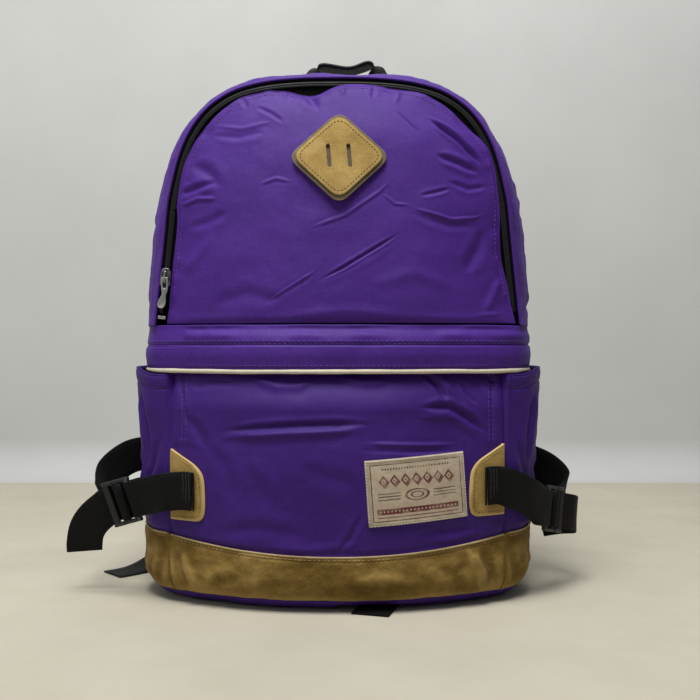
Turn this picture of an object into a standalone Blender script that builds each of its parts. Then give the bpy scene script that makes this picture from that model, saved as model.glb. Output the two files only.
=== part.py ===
"""Racket-sport day backpack: arched main compartment with a zipped front panel, zipped front
pocket under a storm band, two side slip pockets, leather base, side compression straps and
padded shoulder straps.

Frame: origin on the floor at the centre of the base, +X to the bag's right as seen from the
front, +Y towards the wearer's back, +Z up. Numbers below are millimetres; MM turns them into
metres when a mesh is made.
"""
import math

import bpy
import bmesh
from mathutils import Matrix, Vector

MM = 0.001

# ---- driving dimensions (mm) -------------------------------------------------
FABRIC_T = 1.8          # fabric wall with its lining
SEAM_Z = 222.0          # seam between the storm band and the zipped front panel
FLAP_Z = 187.5          # lower edge of the storm band
ZIP_Y = -45.0           # plane of the main zip
BACK_Y = 67.0           # plane of the back seam
TOP_Z = 435.0           # top of the arch
BACK_INSET = 14.0       # back seam inside the widest outline
WEB_W = 30.0            # webbing width
WEB_T = 1.2             # webbing thickness
LOCK_W, LOCK_L, LOCK_T = 38.0, 26.0, 3.4   # ladder lock frame
BASE_CURL = 28.0        # radius the leather base turns under with
TRIM_Z0 = 9.0           # lower edge of the leather base
CHANNEL_Z = 3.4         # how far the base lies off the floor over the strap tail beneath it

for ob in list(bpy.data.objects):
    bpy.data.objects.remove(ob, do_unlink=True)

MATS = {}


def material(name, colour, rough=0.8, metal=0.0):
    if name not in MATS:
        m = bpy.data.materials.new(name)
        m.use_nodes = True
        b = m.node_tree.nodes["Principled BSDF"]
        b.inputs["Base Color"].default_value = (*colour, 1.0)
        b.inputs["Roughness"].default_value = rough
        b.inputs["Metallic"].default_value = metal
        MATS[name] = m
    return MATS[name]


PURPLE = material("purple_nylon", (0.07, 0.022, 0.22), 0.75)
LINING = material("lining", (0.05, 0.02, 0.12), 0.85)
LEATHER = material("tan_leather", (0.30, 0.20, 0.075), 0.7)
LEATHER_DARK = material("brown_backing", (0.10, 0.075, 0.045), 0.7)
BLACK_WEB = material("black_webbing", (0.006, 0.006, 0.006), 0.8)
BLACK_PLASTIC = material("black_plastic", (0.012, 0.012, 0.013), 0.45)
BLACK_PAD = material("black_padding", (0.010, 0.010, 0.012), 0.9)
ZIP_TAPE = material("zip_tape", (0.006, 0.006, 0.006), 0.85)
COIL = material("zip_coil", (0.010, 0.010, 0.010), 0.4)
METAL = material("nickel", (0.62, 0.60, 0.56), 0.28, 1.0)
CREAM = material("cream_piping", (0.55, 0.52, 0.42), 0.7)
LABEL = material("woven_label", (0.55, 0.48, 0.36), 0.85)


# ---- geometry helpers --------------------------------------------------------
def V(*a):
    return Vector(a)


def lerp(a, b, t):
    return a + (b - a) * t


def smooth(t):
    t = min(1.0, max(0.0, t))
    return t * t * (3 - 2 * t)


def spline(points, n):
    """n points evenly spaced along a Catmull-Rom curve through the given points."""
    p = [Vector(q) for q in points]
    ext = [p[0] * 2 - p[1]] + p + [p[-1] * 2 - p[-2]]
    fine = []
    for i in range(len(p) - 1):
        a, b, c, d = ext[i:i + 4]
        for k in range(24):
            t = k / 24
            fine.append(0.5 * ((2 * b) + (c - a) * t + (2 * a - 5 * b + 4 * c - d) * t * t
                               + (3 * b - a - 3 * c + d) * t ** 3))
    fine.append(p[-1])
    run = [0.0]
    for i in range(1, len(fine)):
        run.append(run[-1] + (fine[i] - fine[i - 1]).length)
    out, k = [], 0
    for i in range(n):
        want = run[-1] * i / (n - 1)
        while k < len(run) - 2 and run[k + 1] < want:
            k += 1
        step = run[k + 1] - run[k]
        out.append(fine[k].lerp(fine[k + 1], 0 if step == 0 else (want - run[k]) / step))
    return out


def link(name, verts, faces, mat, smooth_shade=False):
    """One named object from millimetre vertices; faces are turned outwards."""
    vol = 0.0
    for f in faces:
        for k in range(1, len(f) - 1):
            a, b, c = verts[f[0]], verts[f[k]], verts[f[k + 1]]
            vol += a.dot(b.cross(c))
    if vol < 0:
        faces = [tuple(reversed(f)) for f in faces]
    mesh = bpy.data.meshes.new(name)
    mesh.from_pydata([tuple(v * MM) for v in verts], [], faces)
    mesh.update()
    ob = bpy.data.objects.new(name, mesh)
    bpy.context.scene.collection.objects.link(ob)
    ob.data.materials.append(mat)
    if smooth_shade:
        mesh.shade_smooth()
        mesh.set_sharp_from_angle(angle=math.radians(40))
    return ob


def shell(name, verts, faces, t, mat, inside):
    """Closed skin of thickness t, grown from an open surface towards the point inside."""
    nrm = [Vector((0, 0, 0)) for _ in verts]
    for f in faces:
        n = Vector((0, 0, 0))
        for k in range(1, len(f) - 1):
            n += (verts[f[k]] - verts[f[0]]).cross(verts[f[k + 1]] - verts[f[0]])
        for i in f:
            nrm[i] += n
    side = sum((1 if nrm[i].dot(inside - verts[i]) > 0 else -1) for i in range(len(verts)))
    sgn = 1 if side > 0 else -1
    n0 = len(verts)
    allv = list(verts) + [verts[i] + nrm[i].normalized() * (sgn * t) for i in range(n0)]
    edges = {}
    for f in faces:
        for k in range(len(f)):
            e = (f[k], f[(k + 1) % len(f)])
            edges[e] = edges.get(e, 0) + 1
    out = [tuple(f) for f in faces] + [tuple(i + n0 for i in reversed(f)) for f in faces]
    for (a, b) in edges:
        if (b, a) not in edges:
            out.append((b, a, a + n0, b + n0))
    return link(name, allv, out, mat, True)


def grid_faces(rows, cols):
    return [(i * cols + j, i * cols + j + 1, (i + 1) * cols + j + 1, (i + 1) * cols + j)
            for i in range(rows - 1) for j in range(cols - 1)]


def grid_shell(name, grid, t, mat, inside=V(0, 0, 200)):
    verts = [p for row in grid for p in row]
    return shell(name, verts, grid_faces(len(grid), len(grid[0])), t, mat, inside)


def ribbon(name, path, widths, w, t, mat):
    """Flat strap: a w by t rectangle swept along path, its width along widths[i]."""
    verts, n = [], len(path)
    for i, p in enumerate(path):
        tan = (path[min(n - 1, i + 1)] - path[max(0, i - 1)]).normalized()
        wd = widths[i] - tan * widths[i].dot(tan)
        wd.normalize()
        nn = tan.cross(wd).normalized()
        wi = w[i] if isinstance(w, (list, tuple)) else w
        for a, b in ((-1, -1), (1, -1), (1, 1), (-1, 1)):
            verts.append(p + wd * (a * wi / 2) + nn * (b * t / 2))
    faces = []
    for i in range(n - 1):
        for k in range(4):
            a, b = i * 4 + k, i * 4 + (k + 1) % 4
            faces.append((a, b, b + 4, a + 4))
    faces += [(3, 2, 1, 0), tuple(4 * (n - 1) + k for k in range(4))]
    return link(name, verts, faces, mat)


def strap_path(stations, n):
    """Even points and width directions from stations of (point, width direction)."""
    pts = spline([s[0] for s in stations], n)
    m = len(stations)
    cum = [0.0]
    for i in range(1, m):
        cum.append(cum[-1] + (Vector(stations[i][0]) - Vector(stations[i - 1][0])).length)
    out = []
    for i in range(n):
        u = cum[-1] * i / (n - 1)
        k = 0
        while k < m - 2 and cum[k + 1] < u:
            k += 1
        f = smooth((u - cum[k]) / (cum[k + 1] - cum[k]))
        out.append(Vector(stations[k][1]).lerp(Vector(stations[k + 1][1]), f).normalized())
    return pts, out


def plate(name, outline, holes, place, t0, t1, mat):
    """Flat plate with holes: 2-D loops filled, then raised from t0 to t1 by place(u, v, h)."""
    bm = bmesh.new()
    loops = []
    for loop in [outline] + list(holes):
        vs = [bm.verts.new((u, v, 0)) for u, v in loop]
        loops.append(vs)
    edges = []
    for vs in loops:
        for i in range(len(vs)):
            edges.append(bm.edges.new((vs[i], vs[(i + 1) % len(vs)])))
    bmesh.ops.triangle_fill(bm, use_beauty=True, use_dissolve=False, edges=edges)
    bm.verts.index_update()
    flat = [(v.co.x, v.co.y) for v in bm.verts]
    tris = []
    for f in bm.faces:
        idx = [v.index for v in f.verts]
        (ax, ay), (bx, by), (cx, cy) = [flat[i] for i in idx]
        if (bx - ax) * (cy - ay) - (by - ay) * (cx - ax) < 0:
            idx.reverse()
        tris.append(tuple(idx))
    bm.free()
    n = len(flat)
    verts = [place(u, v, t1) for u, v in flat] + [place(u, v, t0) for u, v in flat]
    faces = list(tris) + [tuple(i + n for i in reversed(f)) for f in tris]
    used = set()
    for f in tris:
        for k in range(3):
            used.add((f[k], f[(k + 1) % 3]))
    for (a, b) in used:
        if (b, a) not in used:
            faces.append((b, a, a + n, b + n))
    return link(name, verts, faces, mat)


def rounded(w, h, r, n=4):
    """Rounded rectangle loop, centred, anticlockwise."""
    out = []
    for cx, cy, a0 in ((w / 2 - r, h / 2 - r, 0), (-w / 2 + r, h / 2 - r, 90),
                       (-w / 2 + r, -h / 2 + r, 180), (w / 2 - r, -h / 2 + r, 270)):
        for k in range(n + 1):
            a = math.radians(a0 + 90 * k / n)
            out.append((cx + r * math.cos(a), cy + r * math.sin(a)))
    return out


def frame_place(o, eu, ev, en):
    return lambda u, v, h: o + eu * u + ev * v + en * h


def tube(name, pts, r, mat, res=2):
    cu = bpy.data.curves.new(name, "CURVE")
    cu.dimensions = "3D"
    cu.bevel_depth = r * MM
    cu.bevel_resolution = res
    cu.use_fill_caps = True
    sp = cu.splines.new("POLY")
    sp.points.add(len(pts) - 1)
    for q, p in zip(sp.points, pts):
        q.co = (p.x * MM, p.y * MM, p.z * MM, 1)
    ob = bpy.data.objects.new(name, cu)
    bpy.context.scene.collection.objects.link(ob)
    cu.materials.append(mat)
    return ob


def block(name, x0, x1, y0, y1, z0, z1, mat):
    vs = [V(x, y, z) for z in (z0, z1) for y in (y0, y1) for x in (x0, x1)]
    fs = [(0, 2, 3, 1), (4, 5, 7, 6), (0, 1, 5, 4), (2, 6, 7, 3), (0, 4, 6, 2), (1, 3, 7, 5)]
    return link(name, vs, fs, mat)


# ---- the bag's outlines ------------------------------------------------------
HALF_OUT = [(162, 222), (163, 250), (162, 270), (160.5, 284), (158, 308), (154.8, 327),
            (149.8, 346), (142.8, 367), (136.2, 380), (131, 388), (123.5, 398), (114, 408),
            (105, 415.5), (95, 421.5), (83, 427), (70, 431), (55, 433.6), (35, 434.8), (0, 435)]
HALF_ZIP = [(149.5, 222.25), (147.5, 241.75), (145.5, 261.25), (143.5, 280.75), (141.5, 300.25),
            (139.5, 319.75), (134.8, 343), (129.5, 362), (122.5, 378), (114, 391), (104, 401.5), (90, 411),
            (75, 417), (55, 421.3), (30, 423.6), (0, 424.2)]


def full(half):
    """Left bottom, over the top, to right bottom, as points in the plane y = 0."""
    left = [V(-x, 0, z) for x, z in half]
    right = [V(x, 0, z) for x, z in reversed(half[:-1])]
    return left + right


N_ARCH = 49
OUT = spline(full(HALF_OUT), N_ARCH)
ZIPL = spline(full(HALF_ZIP), N_ARCH)


def normal_of(line, i):
    n = len(line)
    t = (line[min(n - 1, i + 1)] - line[max(0, i - 1)]).normalized()
    return V(-t.z, 0, t.x)      # points out of the arch, left to right over the top


def back_line(i):
    return OUT[i] - normal_of(OUT, i) * BACK_INSET


def gusset_point(i, v):
    """v 0 at the back seam, 1 at the zip; bowed out to the widest outline between."""
    b, z = back_line(i), ZIPL[i]
    base = b.lerp(z, v)
    mid = b.lerp(z, 0.5)
    bow = 1 - abs(2 * v - 1) ** 2.2
    p = base + (OUT[i] - mid) * bow
    return V(p.x, lerp(BACK_Y, ZIP_Y, v), p.z)


def arch_strip(name, i0, i1, trim0, trim1, mat):
    grid = []
    for i in range(i0, i1 + 1):
        row = [gusset_point(i, k / 8) for k in range(9)]
        grid.append(row)
    if trim0:
        grid[0] = [grid[0][k] + (grid[1][k] - grid[0][k]).normalized() * trim0 for k in range(9)]
    if trim1:
        grid[-1] = [grid[-1][k] + (grid[-2][k] - grid[-1][k]).normalized() * trim1 for k in range(9)]
    return grid_shell(name, grid, FABRIC_T, mat, V(0, 0, 260))


SHOULDER_I = 17
arch_strip("gusset_left", 0, SHOULDER_I, 0.4, 0.3, PURPLE)
arch_strip("gusset_top", SHOULDER_I, N_ARCH - 1 - SHOULDER_I, 0.3, 0.3, PURPLE)
arch_strip("gusset_right", N_ARCH - 1 - SHOULDER_I, N_ARCH - 1, 0.3, 0.4, PURPLE)

# ---- plan curves of the lower body (left half, back seam to front centre) ----
PLAN_SEAM = [(-148, 67), (-158, 40), (-161.5, 11), (-158.5, -18), (-146.5, -45), (-121, -60),
             (-85, -71), (-45, -79), (0, -82)]
PLAN_BAND = [(-148.5, 67), (-159, 40), (-163, 11), (-160, -19), (-147.5, -47), (-121, -63.5),
             (-85, -76), (-45, -85), (0, -88)]
SLIP_TOP = [(-149.5, 66), (-166, 42), (-172, 10), (-169, -20), (-156, -44), (-136.5, -57)]
SLIP_MID = [(-149.5, 66), (-161, 42), (-168, 10), (-165, -20), (-152, -45), (-136, -58.5)]
SLIP_LOW = [(-148.5, 66), (-158, 42), (-163.5, 10), (-161, -20), (-150, -45), (-135.5, -57.5)]
POCKET_TOP = [(-131, -51), (-110, -61), (-75, -72), (-45, -78.3), (0, -79.6)]
POCKET_HI = [(-133.5, -58), (-110, -70), (-75, -82), (-40, -90), (0, -93)]
POCKET_MID = [(-133.5, -60), (-110, -73), (-75, -86), (-40, -94), (0, -96.5)]
POCKET_LOW = [(-133.5, -58.5), (-110, -71), (-75, -84.5), (-40, -92.5), (0, -95)]
SIDE_IN = [(-146, 63), (-153, 38), (-156.5, 8), (-153.5, -18), (-143, -37), (-129, -49)]
DIVIDER = [(-126, -50), (-100, -58), (-60, -66), (0, -70)]


def plan(pts, n, mirror=True):
    """Plan curve at z = 0: the left half, and its mirror if asked."""
    p = [V(x, y, 0) for x, y in pts]
    if mirror:
        p = p + [V(-q.x, q.y, 0) for q in reversed(p[:-1])]
    return spline(p, n)


def at_z(p, z):
    return V(p.x, p.y, z)


def plan_normals(c):
    """Outward normals of a plan curve that runs left to right round the front."""
    out = []
    for i in range(len(c)):
        t = (c[min(len(c) - 1, i + 1)] - c[max(0, i - 1)]).normalized()
        out.append(V(t.y, -t.x, 0))
    return out


def blend_rows(rows, z):
    """rows: list of (z, curve). Interpolates the curve for height z."""
    rows = sorted(rows, key=lambda r: r[0])
    if z <= rows[0][0]:
        return rows[0][1]
    for (z0, a), (z1, b) in zip(rows, rows[1:]):
        if z <= z1:
            f = smooth((z - z0) / (z1 - z0))
            return [p.lerp(q, f) for p, q in zip(a, b)]
    return rows[-1][1]


# ---- storm band, its lifting flap and the cream piping ------------------------
NB = 37
FLAP_K = 10             # column where the flap is cut free of the band, counted from each end
FLAP_TOP = 206.0
band_rows = [(187.5, plan(PLAN_BAND, NB)), (206, plan(PLAN_BAND, NB)), (222, plan(PLAN_SEAM, NB))]
band_z = (FLAP_Z, 197, FLAP_TOP + 0.8, 214, SEAM_Z - 0.3)
verts, faces = [], []
for z in band_z:
    verts += [at_z(p, z) for p in blend_rows(band_rows, z)]
keep = {}
for i in range(len(band_z) - 1):
    for j in range(NB - 1):
        if i >= 2 or j < FLAP_K or j >= NB - 1 - FLAP_K:
            q = (i * NB + j, i * NB + j + 1, (i + 1) * NB + j + 1, (i + 1) * NB + j)
            faces.append(tuple(keep.setdefault(v, len(keep)) for v in q))
verts = [verts[v] for v in keep]
shell("storm_band", verts, faces, FABRIC_T, PURPLE, V(0, 0, 205))


def cut_span(c, i0, i1, gap0, gap1):
    """Points i0 to i1 of a curve with its ends pulled in by the gaps."""
    out = [Vector(p) for p in c[i0:i1 + 1]]
    if gap0:
        out[0] = out[0] + (out[1] - out[0]).normalized() * gap0
    if gap1:
        out[-1] = out[-1] + (out[-2] - out[-1]).normalized() * gap1
    return out


flap_c = cut_span(plan(PLAN_BAND, NB), FLAP_K, NB - 1 - FLAP_K, 0.5, 0.5)
grid_shell("storm_flap", [[at_z(p, z) for p in flap_c] for z in (FLAP_Z, 197, FLAP_TOP - 0.3)],
           FABRIC_T, PURPLE, V(0, 0, 200))
pipe = [V(p.x * 0.994, p.y * 0.985, 185.4) for p in plan(PLAN_BAND, NB)]
tube("band_piping_left", cut_span(pipe, 1, FLAP_K, 0, 0.25), 1.7, CREAM, 1)
tube("flap_piping", cut_span(pipe, FLAP_K, NB - 1 - FLAP_K, 0.25, 0.25), 1.7, CREAM, 1)
tube("band_piping_right", cut_span(pipe, NB - 1 - FLAP_K, NB - 2, 0.25, 0), 1.7, CREAM, 1)

# ---- front pocket ------------------------------------------------------------
NP = 21


def pocket_curve(n):
    return [(46, plan(POCKET_LOW, n)), (105, plan(POCKET_MID, n)), (155, plan(POCKET_HI, n)),
            (190, plan(POCKET_TOP, n))]


def trim_top(x):
    """Height of the leather's upper edge on the front."""
    return 44 + 11 * (x / 133.5) ** 2


rows = pocket_curve(NP)
grid = []
for k in range(8):
    f = k / 7
    row = []
    for j in range(NP):
        x_ref = rows[0][1][j].x
        z = lerp(trim_top(x_ref) + 0.4, 190, f)
        row.append(at_z(blend_rows(rows, z)[j], z))
    grid.append(row)
grid_shell("pocket_front", grid, FABRIC_T, PURPLE, V(0, 0, 110))


def surface_front(x, z):
    """Depth of the front pocket's face at x and z, and its outward normal."""
    pts = blend_rows(pocket_curve(97), z)
    best = min(range(1, len(pts) - 1), key=lambda i: abs(pts[i].x - x))
    a = pts[best]
    b = pts[best + 1] if pts[best + 1].x > x or best + 2 >= len(pts) else pts[best + 1]
    a, b = (pts[best - 1], pts[best]) if x < a.x else (a, b)
    f = 0 if b.x == a.x else (x - a.x) / (b.x - a.x)
    p = a.lerp(b, f)
    tan = (b - a).normalized()
    return p.y, V(tan.y, -tan.x, 0)


# ---- side slip pockets -------------------------------------------------------
NS = 15


def side_trim_top(y):
    return lerp(55.5, 60.0, (58 + y) / 124)


def hem_height(j):
    """Upper edge of a slip pocket: tucked under the piping where it meets its seams."""
    return 182.6 + 5.2 * smooth(min(j, NS - 1 - j) / 3 - 0.4)


for side, sx in (("left", 1), ("right", -1)):
    rows_s = [(58, plan(SLIP_LOW, NS, False)), (110, plan(SLIP_MID, NS, False)),
              (188, plan(SLIP_TOP, NS, False))]
    grid = []
    for k in range(7):
        row = []
        for j in range(NS):
            z = lerp(side_trim_top(rows_s[0][1][j].y) + 0.5, hem_height(j), k / 6)
            p = blend_rows(rows_s, z)[j]
            row.append(V(p.x * sx, p.y, z))
        grid.append(row)
    grid_shell("side_pocket_" + side, grid, FABRIC_T, PURPLE, V(0, 0, 120))

# ---- inner walls of the main compartment ------------------------------------
for side, sx in (("left", 1), ("right", -1)):
    c = plan(SIDE_IN, 11, False)
    nn = plan_normals(c)
    grid = [[V((p.x - n.x * d) * sx, p.y - n.y * d, z) for p, n in zip(c, nn)]
            for z, d in ((13, 4.5), (24, 1.2), (40, 0), (130, 0), (221.2, 0))]
    grid_shell("side_wall_" + side, grid, FABRIC_T, LINING, V(0, 0, 110))
c = plan(DIVIDER, 15)
grid_shell("divider_panel", [[at_z(p, z) for p in c] for z in (13, 115, 221.2)],
           FABRIC_T, LINING, V(0, 0, 110))


# ---- leather base: front piece and two side pieces --------------------------
def curl(z):
    return 0 if z >= BASE_CURL else BASE_CURL - math.sqrt(BASE_CURL ** 2 - (BASE_CURL - z) ** 2)


def base_piece(name, c, top, sx=1):
    nr = plan_normals(c)
    grid = []
    for k in range(7):
        row = []
        for p, n in zip(c, nr):
            z = lerp(TRIM_Z0, top(p), k / 6)
            q = p - n * curl(z)
            row.append(V(q.x * sx, q.y, z))
        grid.append(row)
    return grid_shell(name, grid, FABRIC_T, LEATHER, V(0, 0, 60))


base_front = plan(POCKET_LOW, 27)
base_piece("base_trim_front", base_front, lambda p: trim_top(p.x) - 0.1)
base_side = plan(SLIP_LOW, 15, False)
for side, sx in (("left", 1), ("right", -1)):
    base_piece("base_trim_" + side, base_side, lambda p: side_trim_top(p.y), sx)

# ---- bottom panel: rings from the leather's lower edge to a flat foot --------
STRAP_A, STRAP_B = V(75, 75, 0), V(24, -98, 0)     # line of the tail that lies under the bag


def channel(x, y):
    d = (STRAP_B - STRAP_A).normalized()
    q = V(x, y, 0) - STRAP_A
    off = abs(q.x * d.y - q.y * d.x)
    return CHANNEL_Z * (1 - smooth((off - 23) / 10))


left = plan(SLIP_LOW, 11, False)
front = plan(POCKET_LOW, 21)
loop = list(left) + [p for p in front[1:-1]] + [V(-p.x, p.y, 0) for p in reversed(left)]
nrm = plan_normals(loop)
nf = len(loop)
back = [V(lerp(145, -145, k / 8), 66, 0) for k in range(1, 8)]
loop += back
nrm += [V(0, 1, 0)] * len(back)
nrm[0] = V(-0.75, 0.66, 0)
nrm[nf - 1] = V(0.75, 0.66, 0)
RINGS = [(9.1, -1.2, 7.6), (13.2, 0.6, 4.6), (19.5, 4.5, 1.3), (28, 10, 0.0)]
verts = []
for inset_f, inset_b, z in RINGS:
    for i, (p, n) in enumerate(zip(loop, nrm)):
        near_back = 1.0 if i >= nf else smooth(1 - min(i, nf - 1 - i) / 4)
        q = p - n * lerp(inset_f, inset_b, near_back)
        verts.append(V(q.x, q.y, z + channel(q.x, q.y) * (1 if z < 4 else 0)))
total = len(loop)
last = verts[-total:]
mid = V(0, -6, 0)
INNER = (0.88, 0.76, 0.64, 0.52, 0.4, 0.28, 0.14)
for s in INNER:
    for p in last:
        q = mid.lerp(V(p.x, p.y, 0), s)
        verts.append(V(q.x, q.y, channel(q.x, q.y)))
verts.append(V(mid.x, mid.y, channel(mid.x, mid.y)))
faces = []
for k in range(len(RINGS) + len(INNER) - 1):
    for i in range(total):
        j = (i + 1) % total
        faces.append((k * total + i, k * total + j, (k + 1) * total + j, (k + 1) * total + i))
k = len(RINGS) + len(INNER) - 1
for i in range(total):
    faces.append((k * total + i, k * total + (i + 1) % total, len(verts) - 1))
shell("bottom_panel", verts, faces, FABRIC_T, PURPLE, V(0, 0, 300))

# ---- back panel and its foam pad --------------------------------------------
bl = [back_line(i) for i in range(0, N_ARCH, 2)]
outline = [(p.x, p.z) for p in bl]
outline = [(-147.5, 40), (-147.5, 110), (-147.5, 180)] + outline + \
          [(147.5, 180), (147.5, 110), (147.5, 40), (143, 22), (130, 12.5), (60, 12), (-60, 12), (-130, 12.5), (-143, 22)]
plate("back_panel", outline, [], lambda u, v, h: V(u, h, v), BACK_Y + 0.5, BACK_Y + 2.2, PURPLE)
pad_o = [(p.x * 0.93, 14 + (p.z - 14) * 0.905) for p in bl if p.z > 215]
pad_o = [(-98, 24), (-110, 84), (-136, 96), (-136, 200)] + pad_o + [(136, 200), (136, 96), (110, 84), (98, 24)]
plate("back_pad", pad_o, [], lambda u, v, h: V(u, h, v), BACK_Y + 2.5, BACK_Y + 10.5, BLACK_PAD)

# ---- zipped front panel (opens about its lower seam) -------------------------
NU, NT = 17, 13
EDGE_IN = 11.5


def zip_off(i, n_off):
    return ZIPL[i] - normal_of(ZIPL, i) * n_off


door_edge = spline([zip_off(i, EDGE_IN) for i in range(N_ARCH)], 121)
edge_low = [p for p in door_edge if p.z > SEAM_Z + 1.5]
corner = 0.36           # share of the arch taken by each side of the patch
ne = len(edge_low)


def edge_at(s):
    f = s * (ne - 1)
    i = min(ne - 2, int(f))
    return edge_low[i].lerp(edge_low[i + 1], f - i)


def door_xz(u, t):
    """Coons patch of the panel's outline in the x-z plane; u and t from 0 to 1."""
    p00, p10 = edge_at(0), edge_at(1)
    p01, p11 = edge_at(corner), edge_at(1 - corner)
    bottom = p00.lerp(p10, u)
    top = edge_at(lerp(corner, 1 - corner, u))
    lft = edge_at(corner * t)
    rgt = edge_at(1 - corner * t)
    ruled = bottom.lerp(top, t) + lft.lerp(rgt, u)
    corners = (p00.lerp(p10, u)).lerp(p01.lerp(p11, u), t)
    return ruled - corners


def door_y(u, t):
    across = 1 - abs(2 * u - 1) ** 2.6
    up = 1 - t ** 2.3
    return ZIP_Y - 1.6 - 35.4 * across * up


grid = []
for k in range(NT):
    t = k / (NT - 1)
    row = []
    for j in range(NU):
        u = j / (NU - 1)
        q = door_xz(u, t)
        row.append(V(q.x, door_y(u, t), q.z))
    grid.append(row)
grid_shell("front_panel", grid, FABRIC_T - 0.2, PURPLE, V(0, 0, 280))

# ---- main zip ----------------------------------------------------------------
zip_fine = spline(full(HALF_ZIP), 601)
ZIP_FIXED_Z = 316.0     # below this the left inner chain stays with the bag, about the slider


def zip_span(z_left, z_right, n):
    """Zip line from a height on the left, over the arch, to a height on the right."""
    i0 = next(i for i, p in enumerate(zip_fine) if p.z >= z_left)
    i1 = max(i for i, p in enumerate(zip_fine) if p.z >= z_right)
    return spline(zip_fine[i0:i1 + 1:4] + [zip_fine[i1]], n)


def zip_strip(name, line, n0, n1, y0, y1, mat):
    """Strip between two offsets inside the zip line and two depths."""
    verts = []
    for i in range(len(line)):
        nn = normal_of(line, i)
        for off, y in ((n0, y0), (n1, y0), (n1, y1), (n0, y1)):
            q = line[i] - nn * off
            verts.append(V(q.x, y, q.z))
    faces, n = [], len(line)
    for i in range(n - 1):
        for k in range(4):
            a, b = i * 4 + k, i * 4 + (k + 1) % 4
            faces.append((a, b, b + 4, a + 4))
    faces += [(3, 2, 1, 0), tuple(4 * (n - 1) + k for k in range(4))]
    return link(name, verts, faces, mat)


outer_line = zip_span(233, 233, 45)
inner_line = zip_span(ZIP_FIXED_Z + 0.5, 241, 39)
left_run = [p for p in zip_fine if p.x < 0 and 238 <= p.z <= ZIP_FIXED_Z]
left_run = [left_run[0], left_run[len(left_run) // 2], left_run[-1]]
zip_strip("main_zip_tape_outer", outer_line, 2.7, 4.6, ZIP_Y + 0.2, ZIP_Y + 1.2, ZIP_TAPE)
zip_strip("main_zip_coil_outer", outer_line, 4.9, 6.1, ZIP_Y - 1.0, ZIP_Y + 2.0, COIL)
zip_strip("main_zip_coil_inner", inner_line, 6.9, 8.1, ZIP_Y - 1.0, ZIP_Y + 2.0, COIL)
zip_strip("main_zip_tape_inner", inner_line, 8.4, 15.0, ZIP_Y + 0.8, ZIP_Y + 1.8, ZIP_TAPE)
zip_strip("main_zip_coil_end", left_run, 6.9, 8.1, ZIP_Y - 1.0, ZIP_Y + 2.0, COIL)
zip_strip("main_zip_tape_end", left_run, 8.4, 15.0, ZIP_Y + 0.8, ZIP_Y + 1.8, ZIP_TAPE)

# slider on the straight left run of the zip
ZIP_DIR = V(-140.5 + 148.5, 0, 310 - 232).normalized()
ZIP_OUT = V(-ZIP_DIR.z, 0, ZIP_DIR.x)                 # out of the bag, to the left
SLIDER_Z = 262.0
on_line = V(-148.5 + 8 * (SLIDER_Z - 232) / 78, 0, SLIDER_Z)
SL_O = on_line - ZIP_OUT * 6.5 + V(0, ZIP_Y, 0)
FRONT = V(0, -1, 0)


def prism(name, loop, place, t0, t1, mat):
    return plate(name, loop, [], place, t0, t1, mat)


# slider body: front and back plates about the coils, joined by the neck between them
sec = [(-4.3, -5.2), (4.3, -5.2), (4.3, -3.2), (0.25, -3.2), (0.25, 2.2), (4.3, 2.2),
       (4.3, 3.8), (-4.3, 3.8), (-4.3, 2.2), (-0.25, 2.2), (-0.25, -3.2), (-4.3, -3.2)]
plate("main_slider", sec, [], lambda u, v, h: SL_O + ZIP_OUT * u + FRONT * v + ZIP_DIR * h, -7, 7, METAL)
# bridge that carries the pull
br = [(-4.4, 4.1), (-4.4, 8.6), (4.4, 8.6), (4.4, 4.1), (3.4, 4.1), (3.4, 7.6), (-3.4, 7.6), (-3.4, 4.1)]
plate("main_slider_bridge", br, [], lambda u, v, h: SL_O + ZIP_DIR * u + FRONT * v + ZIP_OUT * h,
      -0.55, 0.55, METAL)
# pull tab: its top bar lies inside the bridge, the bridge's lower leg passes through its eye
PULL_AX = SL_O + FRONT * 6.1 - ZIP_DIR * 1.9
tab = [(-2.3, 0.7), (-2.5, -4), (-2.3, -9), (-1.9, -13), (-3.0, -18), (-2.9, -21.5), (0, -23.4),
       (2.9, -21.5), (3.0, -18), (1.9, -13), (2.3, -9), (2.5, -4), (2.3, 0.7)]
eye = [(-1.2, -0.7), (1.2, -0.7), (1.2, -8.0), (-1.2, -8.0)]
plate("main_pull", tab, [eye], lambda u, v, h: PULL_AX - ZIP_OUT * u + ZIP_DIR * v + FRONT * h,
      -0.65, 0.65, METAL)
# end stop below the slider's lowest place
st = on_line - ZIP_DIR * 33 - ZIP_OUT * 6.5 + V(0, ZIP_Y - 1.2, 0)
plate("main_zip_stop", [(-3.2, -1.4), (3.2, -1.4), (3.2, 1.4), (-3.2, 1.4)], [],
      lambda u, v, h: st + ZIP_OUT * u + ZIP_DIR * v + FRONT * h, 0.2, 1.4, METAL)

# ---- pocket zip, behind the storm band --------------------------------------
PZ = [(-112, -59.5), (-85, -69), (-66, -74.4), (-52, -77.2), (-40, -77.6), (-20, -77.6), (0, -77.6)]


def flat_strip(name, z0, z1, depth0, depth1, mat):
    c = plan(PZ, 25)
    nr = plan_normals(c)
    verts = []
    for p, n in zip(c, nr):
        for d, z in ((depth0, z0), (depth1, z0), (depth1, z1), (depth0, z1)):
            q = p + n * d
            verts.append(V(q.x, q.y, z))
    faces, m = [], len(c)
    for i in range(m - 1):
        for k in range(4):
            a, b = i * 4 + k, i * 4 + (k + 1) % 4
            faces.append((a, b, b + 4, a + 4))
    faces += [(3, 2, 1, 0), tuple(4 * (m - 1) + k for k in range(4))]
    return link(name, verts, faces, mat)


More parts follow.
